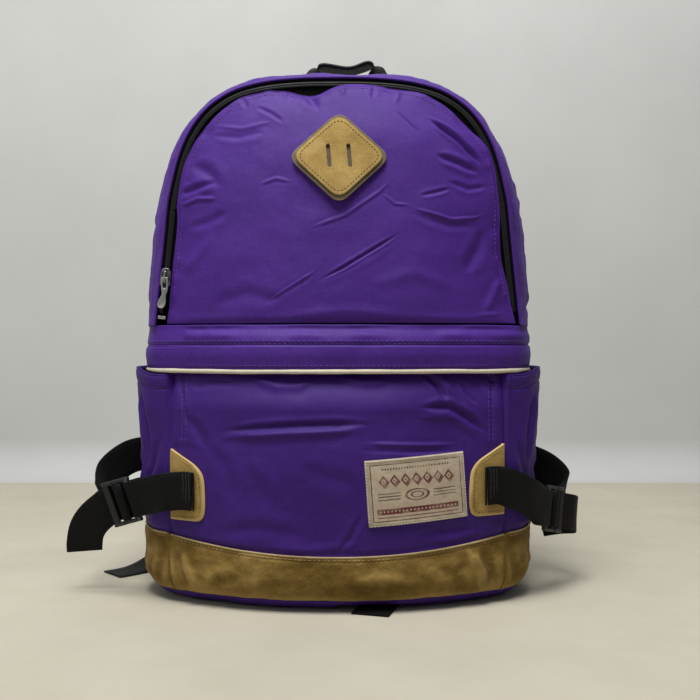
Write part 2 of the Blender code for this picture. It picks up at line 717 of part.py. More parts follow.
flat_strip("pocket_zip_tape_upper", 203.5, 213, -0.9, 0.0, ZIP_TAPE)
flat_strip("pocket_zip_coil", 199.8, 203.2, -1.4, 0.6, COIL)
flat_strip("pocket_zip_tape_lower", 190.6, 199.5, -0.9, 0.0, ZIP_TAPE)
PS = V(-30, -77.6, 201.5)
block("pocket_slider", PS.x - 6, PS.x + 6, -79.9, -78.6, 197.3, 205.7, BLACK_PLASTIC)
block("pocket_pull", PS.x - 3, PS.x + 3, -81.2, -80.3, 190.6, 203.0, BLACK_PLASTIC)

# ---- leather tabs on the pocket's side edges --------------------------------
tab_z = 82.0


def on_front(x, z, h):
    y, n = surface_front(x, z)
    return V(x, y, z) + n * h


TAB_EDGE = [(68.0, -112.0), (68.6, -108.5), (70.5, -105.3), (76, -103.3), (88, -103.0), (101, -104.0),
            (107.5, -106.5), (113.2, -112.2), (118.8, -122.0), (123.8, -131.2)]
for side, sx in (("left", 1), ("right", -1)):
    shift = 4.0 if side == "right" else 0.0
    grid = []
    for z, x in TAB_EDGE:
        row = [on_front(lerp(-131.8, x, k / 5) * sx, z + shift, 2.1) for k in range(6)]
        grid.append(row)
    grid_shell("side_tab_" + side, grid, 1.5, LEATHER, V(0, 0, 90))

# ---- woven label on the pocket ----------------------------------------------
LB_C = (61.0, 95.5)
ang = math.radians(4.2)
GU, GV = 9, 5
grid = []
for b in range(GV):
    row = []
    for a in range(GU):
        u, v = lerp(-38.5, 38.5, a / (GU - 1)), lerp(-25.5, 25.5, b / (GV - 1))
        x = LB_C[0] + u * math.cos(ang) - v * math.sin(ang)
        z = LB_C[1] + u * math.sin(ang) + v * math.cos(ang)
        row.append(on_front(x, z, 1.5))
    grid.append(row)
grid_shell("woven_label", grid, 0.9, LABEL, V(0, 0, 100))


# ---- lash patch on the front panel ------------------------------------------
def door_point(x, z, h):
    """Point h in front of the front panel's face, at x and z."""
    u = 0.5 + x / (2 * 134)
    t = (z - 224) / 188
    y = ZIP_Y - 1.6 - 35.4 * (1 - abs(2 * u - 1) ** 2.6) * (1 - t ** 2.3)
    return V(x, y - h, z)


PATCH = V(1.5, 0, 352.0)
patch_y = min(door_point(PATCH.x, z, 0).y for z in (325, 335, 352))
PATCH_TILT = math.radians(14)
pu, pv, pn = V(1, 0, 0), V(0, math.sin(PATCH_TILT), math.cos(PATCH_TILT)), V(0, -math.cos(PATCH_TILT), math.sin(PATCH_TILT))


def diamond(a, b, r, n=4):
    """Diamond of half-diagonals a and b with rounded tips."""
    tips = [V(a, 0, 0), V(0, b, 0), V(-a, 0, 0), V(0, -b, 0)]
    out = []
    for k in range(4):
        p, c, q = tips[k - 1], tips[k], tips[(k + 1) % 4]
        s, e = c + (p - c).normalized() * r, c + (q - c).normalized() * r
        for m in range(n + 1):
            f = m / n
            w = s.lerp(c, f).lerp(c.lerp(e, f), f)
            out.append((w.x, w.y))
    return out


po = V(PATCH.x, door_point(0, 352, 0).y, 352)
place = frame_place(po + pn * 1.0, pu, pv, pn)


def slot(cx, lean=0.09):
    return [(cx - 1.5 - lean * 9.5 * -1 * -1, 9.5), (cx - 1.5 + lean * 9.5, -9.5), (cx + 1.5 + lean * 9.5, -9.5),
            (cx + 1.5 - lean * 9.5, 9.5)][::1]


plate("lash_patch_backing", diamond(40.5, 39.5, 9), [slot(-8), slot(8)], place, 3.2, 5.2, LEATHER_DARK)
plate("lash_patch", diamond(37, 36, 9), [slot(-8), slot(8)], place, 5.5, 7.3, LEATHER)

# ---- haul loop ---------------------------------------------------------------
HL_X, HL_Y = 9.0, BACK_Y + 3.4
HL = [((HL_X - 29, HL_Y, 425.3), (1, 0, 0)), ((HL_X - 29, HL_Y, 432), (1, 0, 0)),
      ((HL_X - 30, HL_Y - 0.5, 444), (0.98, -0.2, 0)), ((HL_X - 31, HL_Y - 2, 457), (0.75, -0.66, 0)),
      ((HL_X - 25, HL_Y - 3, 463), (0.15, -0.98, 0)), ((HL_X, HL_Y - 3.5, 460), (0, -1, 0)),
      ((HL_X + 19, HL_Y - 3, 465), (-0.15, -0.98, 0)), ((HL_X + 26, HL_Y - 2, 459), (-0.75, -0.66, 0)),
      ((HL_X + 28.5, HL_Y - 0.5, 444), (-0.98, -0.2, 0)), ((HL_X + 29, HL_Y, 432), (-1, 0, 0)),
      ((HL_X + 29, HL_Y, 425.3), (-1, 0, 0))]
hp, hw = strap_path(HL, 37)
ribbon("haul_loop", hp, hw, 24.0, 1.4, BLACK_WEB)
# the loop's two ends, sewn flat on the back panel below the fold line
for side, sx in (("left", -1), ("right", 1)):
    block("haul_loop_end_" + side, HL_X + 29 * sx - 12, HL_X + 29 * sx + 12, HL_Y - 0.7, HL_Y + 0.7,
          410.0, 423.6, BLACK_WEB)


# ---- ladder locks and their webbing -----------------------------------------
def basis(el, ew, out_hint):
    el = el.normalized()
    ew = (ew - el * ew.dot(el)).normalized()
    en = el.cross(ew)
    if en.dot(out_hint) < 0:
        en = -en
    return el, ew, en


def ladder_lock(name, o, el, ew, en):
    """Frame with two slots. el runs from the sewn bar to the free bar."""
    slots = [[(-3, -15.75), (3, -15.75), (3, 15.75), (-3, 15.75)] for _ in range(2)]
    s1 = [(u - 6, v) for u, v in slots[0]]
    s2 = [(u + 4, v) for u, v in slots[1]]
    loop = rounded(LOCK_L, LOCK_W, 3.0, 3)
    return plate(name, loop, [s1, s2], frame_place(o, el, ew, en), -LOCK_T / 2, LOCK_T / 2, BLACK_PLASTIC)


def lock_point(o, el, en, l, n):
    return o + el * l + en * n


def web_through(o, el, en):
    """Centre line of the adjusting webbing through the lock, load side first.
    l grows towards the free bar; the sewn bar is at l = -11."""
    pts = [(13, -5.6), (6, -5.6), (-2.2, -5.6)]
    for k in range(1, 4):           # turn up into the first slot
        a = math.radians(90 * k / 3)
        pts.append((-2.6 - 2.2 * math.sin(a), -3.4 - 2.2 * math.cos(a)))
    pts.append((-4.8, -1.0))
    for k in range(0, 7):           # over the middle bar
        a = math.radians(180 - 30 * k)
        pts.append((-1.0 + 3.8 * math.cos(a), 0.2 + 3.8 * math.sin(a)))
    pts.append((2.8, -0.8))
    for k in range(1, 4):           # down and out under the free bar
        a = math.radians(90 * k / 3)
        pts.append((5.0 - 2.2 * math.cos(a), -1.0 - 2.2 * math.sin(a)))
    pts.append((13.5, -3.2))
    return [lock_point(o, el, en, l, n) for l, n in pts]


def stub_loop(o, el, en):
    """Doubled webbing about the sewn bar: outer layer in, round the bar, inner layer back."""
    pts = [(-20, 3.5)]
    for k in range(0, 9):
        a = math.radians(90 - 180 * k / 8)
        pts.append((-11 + 3.5 * math.cos(a), 3.5 * math.sin(a)))
    pts.append((-20, -3.5))
    return [lock_point(o, el, en, l, n) for l, n in pts]


def webbing(name, o, el, ew, en, load, tail):
    """One length of webbing: from its sewn end, through the lock, to its free end."""
    inner = web_through(o, el, en)
    a_pts, a_w = strap_path(load + [(inner[0], ew)], 14)
    b_pts, b_w = strap_path([(inner[-1], ew)] + tail, 16)
    path = a_pts[:-1] + inner + b_pts[1:]
    wd = a_w[:-1] + [ew] * len(inner) + b_w[1:]
    return ribbon(name, path, wd, WEB_W, WEB_T, BLACK_WEB)


# left side
oL = V(-175, -46, 79)
elL, ewL, enL = basis(V(-0.90, 0.33, -0.28), V(0.33, 0.05, -0.94), V(-0.3, -0.9, 0))
ladder_lock("side_lock_left", oL, elL, ewL, enL)
webbing("compression_strap_left", oL, elL, ewL, enL,
        [((-151.5, 71.5, 108), (0, 0, -1)), ((-168, 58, 108), (0.1, 0, -1)),
         ((-187, 30, 106), (0.2, 0, -1)), ((-199, -4, 93), (0.3, 0.1, -1)), ((-194, -32, 78), (0.33, 0.05, -1))],
        [((-200, -36, 64), (0.6, 0.1, -0.75)), ((-207.5, -32, 53), (0.85, 0.05, -0.5)),
         ((-210.5, -28, 40), (0.99, 0, -0.1)), ((-210.5, -27, 35), (1, 0, -0.02))])
# right side
oR = V(179, -27, 70)
elR, ewR, enR = basis(V(0.66, 0.72, -0.2), V(-0.12, -0.15, -0.98), V(0.74, -0.67, 0))
ladder_lock("side_lock_right", oR, elR, ewR, enR)
webbing("compression_strap_right", oR, elR, ewR, enR,
        [((151.5, 71.5, 104), (0, 0, -1)), ((168, 58, 102), (-0.1, 0, -1)),
         ((188, 34, 94), (-0.15, 0, -1)), ((197, 10, 80), (-0.12, -0.1, -1))],
        [((203, -2, 62), (-0.1, -0.1, -1)), ((206, 18, 56), (0, 0, -1)),
         ((198, 44, 50), (0.05, 0, -1)), ((186, 62, 44), (0.1, 0, -1))])


def stub(name, o, el, ew, en, side, tab_x, tab_z, mids):
    """Doubled webbing from the leather tab to the lock's sewn bar, as one folded length."""
    ring = stub_loop(o, el, en)
    sgn = -1 if side == "left" else 1
    outer = [on_front(sgn * (abs(tab_x)), tab_z, 6.1), on_front(sgn * (abs(tab_x) + 9), tab_z, 6.1)]
    inner = [on_front(sgn * (abs(tab_x) + 9), tab_z, 4.1), on_front(sgn * (abs(tab_x) + 1), tab_z, 4.1)]
    up = V(0, 0, -1)
    o_st = [(outer[0], up), (outer[1], up)] + [(p + n * 1.4, w) for p, n, w in mids] + [(ring[0], ew)]
    i_st = [(ring[-1], ew)] + [(p - n * 1.4, w) for p, n, w in reversed(mids)] + [(inner[0], up), (inner[1], up)]
    a_p, a_w = strap_path(o_st, 14)
    b_p, b_w = strap_path(i_st, 14)
    path = a_p[:-1] + ring + b_p[1:]
    wd = a_w[:-1] + [ew] * len(ring) + b_w[1:]
    return ribbon(name, path, wd, WEB_W, WEB_T, BLACK_WEB)


nl = V(-0.55, -0.83, 0)
nr = V(0.55, -0.83, 0)
stub("strap_stub_left", oL, elL, ewL, enL, "left", 111, 92, [(V(-137.5, -67.5, 90), nl, V(0.05, 0, -1)), (V(-149, -60, 86.5), V(-0.45, -0.89, 0), V(0.15, 0, -1))])
stub("strap_stub_right", oR, elR, ewR, enR, "right", 115, 96, [(V(137, -66.5, 93), nr, V(-0.05, 0, -1)), (V(154, -55, 84), V(0.65, -0.75, 0), V(-0.12, 0, -1))])

# ---- shoulder straps ---------------------------------------------------------
ST = [(-46, 78.5, 396), (-49, 86, 370), (-56, 103, 325), (-68, 113, 262), (-81, 112, 195), (-91, 103, 142), (-95, 97.5, 121)]
ST_W = [50, 56, 64, 64, 60, 48, 36]
ST_T = [5, 9, 13, 13, 12, 9, 5]


def padded_strap(name, sx):
    pts = spline([V(x * sx, y, z) for x, y, z in ST], 19)
    verts, k = [], 8
    n = len(pts)
    for i, p in enumerate(pts):
        f = i / (n - 1) * (len(ST) - 1)
        a = min(len(ST) - 2, int(f))
        w = lerp(ST_W[a], ST_W[a + 1], f - a) / 2
        t = lerp(ST_T[a], ST_T[a + 1], f - a) / 2
        tan = (pts[min(n - 1, i + 1)] - pts[max(0, i - 1)]).normalized()
        wd = V(1, 0, 0) - tan * tan.x
        wd.normalize()
        nn = tan.cross(wd).normalized()
        for cu, cv in ((-1, -0.45), (-0.85, -1), (0.85, -1), (1, -0.45), (1, 0.45), (0.85, 1), (-0.85, 1), (-1, 0.45)):
            verts.append(p + wd * (cu * w) + nn * (cv * t))
    faces = []
    for i in range(n - 1):
        for j in range(k):
            a, b = i * k + j, i * k + (j + 1) % k
            faces.append((a, b, b + k, a + k))
    faces += [tuple(reversed(range(k))), tuple((n - 1) * k + j for j in range(k))]
    return link(name, verts, faces, BLACK_PAD, True)


for side, sx in (("left", 1), ("right", -1)):
    padded_strap("shoulder_strap_" + side, sx)
    o = V(-99.5 * sx, 93.0, 101.5)
    anchor = V(-131 * sx, 73.2, 43)
    el, ew, en = basis(anchor - o, V(0.843 * sx, 0, -0.443), V(0, 1, 0))
    ladder_lock("shoulder_lock_" + side, o, el, ew, en)
    # webbing loop sewn into the strap's lower end, about the lock's sewn bar
    ring = stub_loop(o, el, en)[1:-1]
    ribbon("shoulder_lock_loop_" + side, ring, [ew] * len(ring), WEB_W, WEB_T, BLACK_WEB)
    if side == "left":
        tail = [(tuple(o + el * 21 - en * 1.5), ew), ((-116, 97, 68), (0.85, -0.2, -0.4)), ((-133, 97, 43), (0.75, -0.5, -0.4)),
                ((-152, 84, 21), (0.7, -0.68, -0.2)), ((-172, 64, 6.5), (0.68, -0.73, -0.05)),
                ((-187, 48, 1.3), (0.67, -0.74, 0)), ((-203, 33, 1.0), (0.67, -0.74, 0))]
    else:
        tail = [(tuple(o + el * 21 - en * 1.5), ew), ((110, 97, 66), (-0.9, 0.05, 0.3)), ((102, 101, 42), (-0.97, 0.0, 0.15)),
                ((92, 99, 17), (-0.98, 0.1, 0)), ((84, 90, 3.6), (-0.97, 0.24, 0)),
                ((76.5, 77, 1.0), (-0.96, 0.28, 0)), ((60, 24, 0.9), (-0.96, 0.28, 0)),
                ((41, -40, 0.9), (-0.96, 0.28, 0)), ((25, -94, 0.9), (-0.96, 0.28, 0))]
    webbing("shoulder_webbing_" + side, o, el, ew, en,
            [(anchor + V(0, 0.6, 0) + el * 2, ew), (anchor - el * 10, ew)], tail)
    # sewn anchor tab at the back panel's lower corner
    ax = anchor - V(0, 3.4, 0)
    plate("strap_anchor_" + side, [(-12 * sx, -20), (-12 * sx, 12), (14 * sx, 10), (14 * sx, -4)][::sx], [],
          lambda u, v, h: V(ax.x + u, h, ax.z + v), BACK_Y + 2.5, BACK_Y + 4.0, PURPLE)

# ---- origins: a moving piece turns or slides from a point on its joint's axis --
PANEL_HINGE = V(0, -83.8, 222.8)
FLAP_HINGE = V(0, -88.3, 206.0)
PIVOTS = {
    "front_panel": PANEL_HINGE, "lash_patch_backing": PANEL_HINGE, "lash_patch": PANEL_HINGE,
    "main_zip_coil_inner": PANEL_HINGE, "main_zip_tape_inner": PANEL_HINGE,
    "storm_flap": FLAP_HINGE, "flap_piping": FLAP_HINGE,
    "main_slider": SL_O, "main_slider_bridge": SL_O, "main_pull": PULL_AX,
    "pocket_slider": PS, "pocket_pull": V(-30, -80.75, 202.2),
    "haul_loop": V(HL_X, HL_Y, 424.5),
    "side_lock_left": oL - elL * 11, "side_lock_right": oR - elR * 11,
}
for side, sx in (("left", 1), ("right", -1)):
    o = V(-99.5 * sx, 93.0, 101.5)
    el = (V(-131 * sx, 73.2, 43) - o).normalized()
    PIVOTS["shoulder_strap_" + side] = PIVOTS["shoulder_lock_loop_" + side] = V(-46 * sx, 78.5, 398)
    PIVOTS["shoulder_lock_" + side] = o - el * 11
for name, p in PIVOTS.items():
    ob, at = bpy.data.objects[name], p * MM
    if ob.type == "CURVE":
        for sp in ob.data.splines:
            for q in sp.points:
                q.co = (q.co.x - at.x, q.co.y - at.y, q.co.z - at.z, 1)
    else:
        ob.data.transform(Matrix.Translation(-at))
    ob.location = at
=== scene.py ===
"""Visual model of the arched day backpack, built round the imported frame. Numbers are millimetres
unless a comment says metres; MM turns them into metres when a mesh is made."""

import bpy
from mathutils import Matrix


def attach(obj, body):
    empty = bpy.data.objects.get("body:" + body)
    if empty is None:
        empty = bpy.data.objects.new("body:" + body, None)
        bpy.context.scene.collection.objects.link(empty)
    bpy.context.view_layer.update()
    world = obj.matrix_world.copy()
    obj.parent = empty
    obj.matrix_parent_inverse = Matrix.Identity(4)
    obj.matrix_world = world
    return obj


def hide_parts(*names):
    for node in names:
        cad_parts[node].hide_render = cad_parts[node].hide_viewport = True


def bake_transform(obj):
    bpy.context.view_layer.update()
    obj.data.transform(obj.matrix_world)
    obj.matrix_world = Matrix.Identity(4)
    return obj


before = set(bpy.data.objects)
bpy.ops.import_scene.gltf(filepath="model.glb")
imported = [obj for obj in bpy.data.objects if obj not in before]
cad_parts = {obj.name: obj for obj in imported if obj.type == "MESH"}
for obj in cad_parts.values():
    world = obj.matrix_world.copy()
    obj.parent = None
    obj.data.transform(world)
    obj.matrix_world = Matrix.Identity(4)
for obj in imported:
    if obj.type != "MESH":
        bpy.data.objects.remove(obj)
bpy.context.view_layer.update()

import math

import bpy
import bmesh
import numpy as np
from mathutils import Vector

MM = 0.001
scene = bpy.context.scene


def V(*a):
    return Vector(a)


def lerp(a, b, t):
    return a + (b - a) * t


def sstep(t):
    t = np.clip(t, 0.0, 1.0)
    return t * t * (3 - 2 * t)


def smooth(t):
    t = min(1.0, max(0.0, t))
    return t * t * (3 - 2 * t)


# ---- node materials -----------------------------------------------------------
class Nodes:
    """Short hand for building a procedural material."""

    def __init__(self, name):
        self.m = bpy.data.materials.new(name)
        self.m.use_nodes = True
        self.t = self.m.node_tree
        self.b = self.t.nodes["Principled BSDF"]

    def new(self, kind, **kw):
        n = self.t.nodes.new(kind)
        for k, v in kw.items():
            setattr(n, k, v)
        return n

    def put(self, sock, v):
        if isinstance(v, bpy.types.NodeSocket):
            self.t.links.new(v, sock)
        else:
            sock.default_value = v

    def math(self, op, a, b=0.0, c=None):
        n = self.new("ShaderNodeMath", operation=op)
        self.put(n.inputs[0], a)
        self.put(n.inputs[1], b)
        if c is not None:
            self.put(n.inputs[2], c)
        return n.outputs[0]

    def attr(self, name="st"):
        return self.new("ShaderNodeAttribute", attribute_name=name, attribute_type="GEOMETRY")

    def obj(self):
        return self.new("ShaderNodeTexCoord").outputs["Object"]

    def scaled(self, vec, s):
        n = self.new("ShaderNodeMapping")
        self.put(n.inputs["Vector"], vec)
        n.inputs["Scale"].default_value = s
        return n.outputs[0]

    def noise(self, vec, scale, detail=3.0, rough=0.55, dist=0.0):
        n = self.new("ShaderNodeTexNoise")
        self.put(n.inputs["Vector"], vec)
        n.inputs["Scale"].default_value = scale
        n.inputs["Detail"].default_value = detail
        n.inputs["Roughness"].default_value = rough
        n.inputs["Distortion"].default_value = dist
        return n.outputs["Fac"]

    def ramp(self, fac, stops):
        n = self.new("ShaderNodeValToRGB")
        self.put(n.inputs[0], fac)
        cr = n.color_ramp
        while len(cr.elements) < len(stops):
            cr.elements.new(0.5)
        for e, (p, c) in zip(cr.elements, stops):
            e.position = p
            e.color = (*c, 1.0) if len(c) == 3 else c
        return n.outputs[0]

    def range(self, v, a, b, c, d):
        n = self.new("ShaderNodeMapRange")
        self.put(n.inputs[0], v)
        for k, x in zip((1, 2, 3, 4), (a, b, c, d)):
            n.inputs[k].default_value = x
        return n.outputs[0]

    def mix(self, f, a, b, blend="MIX"):
        n = self.new("ShaderNodeMix", data_type="RGBA", blend_type=blend)
        self.put(n.inputs[0], f)
        for s, v in ((n.inputs[6], a), (n.inputs[7], b)):
            if isinstance(v, tuple) and len(v) == 3:
                v = (*v, 1.0)
            self.put(s, v)
        return n.outputs[2]

    def bump(self, h, dist, strength=1.0, normal=None):
        n = self.new("ShaderNodeBump")
        n.inputs["Strength"].default_value = strength
        n.inputs["Distance"].default_value = dist
        self.put(n.inputs["Height"], h)
        if normal is not None:
            self.put(n.inputs["Normal"], normal)
        return n.outputs[0]

    def finish(self, colour, rough, normal=None, **const):
        self.put(self.b.inputs["Base Color"], colour)
        self.put(self.b.inputs["Roughness"], rough)
        if normal is not None:
            self.put(self.b.inputs["Normal"], normal)
        for k, v in const.items():
            self.b.inputs[k.replace("_", " ")].default_value = v
        return self.m


def weave_height(n, st, pitch):
    """Plain weave: warp and weft threads over and under, from the surface's own metre coordinates."""
    sep = n.new("ShaderNodeSeparateXYZ")
    n.put(sep.inputs[0], st)
    k = math.pi / pitch
    sx = n.math("SINE", n.math("MULTIPLY", sep.outputs[0], k))
    sy = n.math("SINE", n.math("MULTIPLY", sep.outputs[1], k))
    over = n.math("MULTIPLY", sx, sy)
    ax = n.math("ABSOLUTE", n.math("SINE", n.math("MULTIPLY", sep.outputs[0], k)))
    ay = n.math("ABSOLUTE", n.math("SINE", n.math("MULTIPLY", sep.outputs[1], k)))
    return n.math("ADD", n.math("MULTIPLY", over, 0.5), n.math("MULTIPLY", n.math("ADD", ax, ay), 0.35))


def cloth_material(name, dark, base, light, pitch=0.0010, rough=(0.50, 0.70), sheen=0.06, tint=(0.45, 0.2, 1.0),
                   slub=0.2, bump=0.00020, spec=0.22):
    n = Nodes(name)
    st = n.attr().outputs["Vector"]
    warp = n.noise(n.scaled(st, (1300, 120, 1)), 1.0, 2.0)
    weft = n.noise(n.scaled(st, (120, 1300, 1)), 1.0, 2.0)
    threads = n.math("MULTIPLY", n.math("ADD", warp, weft), 0.5)
    cloud = n.noise(st, 14.0, 3.0, 0.6)
    dust = n.noise(st, 260.0, 4.0, 0.7)
    w = weave_height(n, st, pitch)
    f = n.math("ADD", n.math("MULTIPLY", n.math("SUBTRACT", threads, 0.5), 2.6 * slub), 0.5)
    f = n.math("ADD", f, n.math("MULTIPLY", n.math("SUBTRACT", cloud, 0.5), 0.38))
    f = n.math("ADD", f, n.math("MULTIPLY", n.math("SUBTRACT", w, 0.45), 0.22))
    f = n.math("ADD", f, n.math("MULTIPLY", n.math("SUBTRACT", dust, 0.5), 0.35))
    col = n.ramp(f, [(0.05, dark), (0.5, base), (0.95, light)])
    r = n.range(f, 0.1, 0.9, rough[1], rough[0])
    h = n.math("ADD", n.math("MULTIPLY", w, 0.5), n.math("MULTIPLY", threads, 0.9))
    nrm = n.bump(h, bump, 0.85)
    nrm = n.bump(n.noise(st, 55.0, 4.0, 0.6), 0.0011, 0.35, nrm)
    return n.finish(col, r, nrm, Sheen_Weight=sheen, Sheen_Roughness=0.45, Sheen_Tint=(*tint, 1.0),
                    Specular_IOR_Level=spec)


def leather_material(name, dark, base, light, fibre=1.0):
    n = Nodes(name)
    st = n.attr().outputs["Vector"]
    big = n.noise(st, 22.0, 4.0, 0.62, 0.6)
    mid = n.noise(st, 95.0, 4.0, 0.7, 0.3)
    nap = n.noise(n.scaled(st, (1.0, 1.7, 1.0)), 900.0, 3.0, 0.75)
    pore = n.new("ShaderNodeTexVoronoi", feature="F1")
    n.put(pore.inputs["Vector"], st)
    pore.inputs["Scale"].default_value = 700.0
    wear = n.attr("wear").outputs["Fac"]
    f = n.math("ADD", n.math("MULTIPLY", big, 0.62), n.math("MULTIPLY", mid, 0.42))
    f = n.math("ADD", f, n.math("MULTIPLY", n.math("SUBTRACT", nap, 0.5), 0.75 * fibre))
    f = n.math("ADD", f, n.math("MULTIPLY", wear, 0.42))
    col = n.ramp(f, [(0.22, dark), (0.54, base), (0.86, light)])
    r = n.range(f, 0.2, 0.9, 0.95, 0.8)
    h = n.math("ADD", n.math("MULTIPLY", nap, 0.6), n.math("MULTIPLY", pore.outputs["Distance"], 0.5))
    nrm = n.bump(h, 0.00028, 0.8)
    nrm = n.bump(mid, 0.0012, 0.35, nrm)
    return n.finish(col, r, nrm, Sheen_Weight=0.08, Sheen_Roughness=0.5, Sheen_Tint=(1.0, 0.80, 0.40, 1.0),
                    Specular_IOR_Level=0.14)


def webbing_material(name, base=(0.0012, 0.0012, 0.0014), light=(0.0050, 0.0050, 0.0050), rib=0.0016):
    n = Nodes(name)
    st = n.attr().outputs["Vector"]
    sep = n.new("ShaderNodeSeparateXYZ")
    n.put(sep.inputs[0], st)
    ribs = n.math("ABSOLUTE", n.math("SINE", n.math("MULTIPLY", sep.outputs[0], math.pi / rib)))
    cord = n.math("ABSOLUTE", n.math("SINE", n.math("MULTIPLY", sep.outputs[1], math.pi / 0.0021)))
    cross = n.math("MULTIPLY", n.math("SINE", n.math("MULTIPLY", sep.outputs[0], math.pi / rib)),
                   n.math("SINE", n.math("MULTIPLY", sep.outputs[1], math.pi / 0.0021)))
    grime = n.noise(st, 70.0, 4.0, 0.65)
    fuzz = n.noise(st, 900.0, 3.0, 0.7)
    f = n.math("ADD", n.math("MULTIPLY", ribs, 0.3), n.math("MULTIPLY", cross, 0.2))
    f = n.math("ADD", f, n.math("MULTIPLY", grime, 0.35))
    f = n.math("ADD", f, n.math("MULTIPLY", fuzz, 0.25))
    col = n.ramp(f, [(0.15, base), (0.95, light)])
    h = n.math("ADD", n.math("MULTIPLY", ribs, 0.7), n.math("MULTIPLY", cord, 0.5))
    nrm = n.bump(h, 0.0003, 0.9)
    return n.finish(col, n.range(f, 0.2, 0.9, 0.66, 0.5), nrm, Sheen_Weight=0.015, Sheen_Roughness=0.4,
                    Sheen_Tint=(0.9, 0.92, 0.9, 1.0), Specular_IOR_Level=0.13)


def plastic_material(name, base, light, rough=(0.34, 0.55)):
    n = Nodes(name)
    co = n.obj()
    a = n.noise(co, 60.0, 3.0, 0.6)
    b = n.noise(co, 1400.0, 3.0, 0.6)
    f = n.math("ADD", n.math("MULTIPLY", a, 0.6), n.math("MULTIPLY", b, 0.4))
    col = n.ramp(f, [(0.25, base), (0.85, light)])
    return n.finish(col, n.range(f, 0.2, 0.8, rough[0], rough[1]), n.bump(b, 0.00012, 0.6), Specular_IOR_Level=0.5)


def metal_material(name, base=(0.50, 0.49, 0.47), dark=(0.16, 0.155, 0.15)):
    n = Nodes(name)
    co = n.obj()
    a = n.noise(co, 160.0, 4.0, 0.6, 0.4)
    s = n.noise(n.scaled(co, (4000, 4000, 250)), 1.0, 2.0)
    f = n.math("ADD", n.math("MULTIPLY", a, 0.7), n.math("MULTIPLY", s, 0.3))
    col = n.ramp(f, [(0.22, dark), (0.45, base), (0.8, (0.78, 0.77, 0.74))])
    return n.finish(col, n.range(f, 0.2, 0.8, 0.42, 0.2), n.bump(s, 0.00005, 0.5), Metallic=1.0)


def mesh_pad_material(name):
    """Air mesh: small knitted holes."""
    n = Nodes(name)
    st = n.attr().outputs["Vector"]
    v = n.new("ShaderNodeTexVoronoi", feature="F1")
    n.put(v.inputs["Vector"], st)
    v.inputs["Scale"].default_value = 420.0
    d = v.outputs["Distance"]
    g = n.noise(st, 40.0, 4.0, 0.6)
    f = n.math("ADD", n.math("MULTIPLY", d, 0.8), n.math("MULTIPLY", g, 0.4))
    col = n.ramp(f, [(0.15, (0.004, 0.004, 0.005)), (0.5, (0.014, 0.014, 0.016)), (0.9, (0.036, 0.036, 0.04))])
    return n.finish(col, n.range(f, 0.2, 0.9, 0.9, 0.62), n.bump(d, 0.0006, 0.8), Sheen_Weight=0.25,
                    Sheen_Roughness=0.5, Sheen_Tint=(0.8, 0.8, 0.9, 1.0))


def label_material():
    """Woven label: threads in three colours, chosen by the ink and trim attributes."""
    n = Nodes("label_weave")
    st = n.attr().outputs["Vector"]
    ink = n.attr("ink").outputs["Fac"]
    red = n.attr("red").outputs["Fac"]
    w = weave_height(n, st, 0.0006)
    g = n.noise(st, 120.0, 4.0, 0.7)
    t = n.noise(n.scaled(st, (140, 2200, 1)), 1.0, 2.0)
    f = n.math("ADD", n.math("MULTIPLY", g, 0.6), n.math("MULTIPLY", t, 0.5))
    cream = n.ramp(f, [(0.2, (0.25, 0.185, 0.125)), (0.5, (0.42, 0.335, 0.235)), (0.85, (0.54, 0.455, 0.335))])
    brown = n.ramp(f, [(0.2, (0.028, 0.014, 0.010)), (0.8, (0.10, 0.055, 0.038))])
    rust = n.ramp(f, [(0.2, (0.055, 0.004, 0.007)), (0.8, (0.145, 0.010, 0.015))])
    col = n.mix(ink, cream, brown)
    col = n.mix(red, col, rust)
    nrm = n.bump(n.math("ADD", w, n.math("MULTIPLY", t, 0.6)), 0.00022, 0.9)
    return n.finish(col, n.range(f, 0.2, 0.9, 0.9, 0.7), nrm, Sheen_Weight=0.15, Sheen_Roughness=0.5)


def thread_material(name, base, light):
    n = Nodes(name)
    co = n.obj()
    a = n.noise(co, 900.0, 3.0, 0.6)
    return n.finish(n.ramp(a, [(0.3, base), (0.75, light)]), n.range(a, 0.3, 0.7, 0.75, 0.55), n.bump(a, 0.0001, 0.6))


PURPLE = cloth_material("nylon_purple", (0.022, 0.0045, 0.092), (0.0530, 0.0125, 0.190), (0.094, 0.029, 0.300))
# darker copy of the purple nylon: painted shade for the lower parts, which face down and away from the light above
# (front pocket, side pockets, pocket corner seams, bottom)
PURPLE_SHADED = cloth_material("nylon_purple_shaded", (0.0145, 0.0026, 0.066), (0.0335, 0.0066, 0.135), (0.060, 0.015, 0.215))
LINING = cloth_material("lining_violet", (0.016, 0.007, 0.05), (0.034, 0.015, 0.10), (0.065, 0.032, 0.16), pitch=0.0016, sheen=0.2)
LEATHER = leather_material("suede_tan", (0.055, 0.029, 0.005), (0.150, 0.090, 0.019), (0.29, 0.190, 0.058))
LEATHER_P = leather_material("suede_patch", (0.165, 0.100, 0.028), (0.335, 0.222, 0.069), (0.50, 0.365, 0.150), 0.8)
BACKING = leather_material("backing_brown", (0.055, 0.042, 0.024), (0.135, 0.108, 0.07), (0.25, 0.21, 0.15), 0.6)
EDGE = leather_material("leather_cut_edge", (0.17, 0.115, 0.05), (0.33, 0.245, 0.125), (0.5, 0.41, 0.26), 0.6)
WEB = webbing_material("webbing_black")
WEB_GREY = webbing_material("webbing_worn", (0.005, 0.005, 0.0045), (0.030, 0.031, 0.027), 0.0018)
PLASTIC = plastic_material("acetal_black", (0.004, 0.004, 0.0042), (0.014, 0.014, 0.015))
PLASTIC_W = plastic_material("acetal_scuffed", (0.03, 0.03, 0.03), (0.12, 0.12, 0.115), (0.4, 0.62))
METAL = metal_material("nickel_plate")
METAL_DARK = metal_material("nickel_dark", (0.10, 0.10, 0.10), (0.03, 0.03, 0.03))
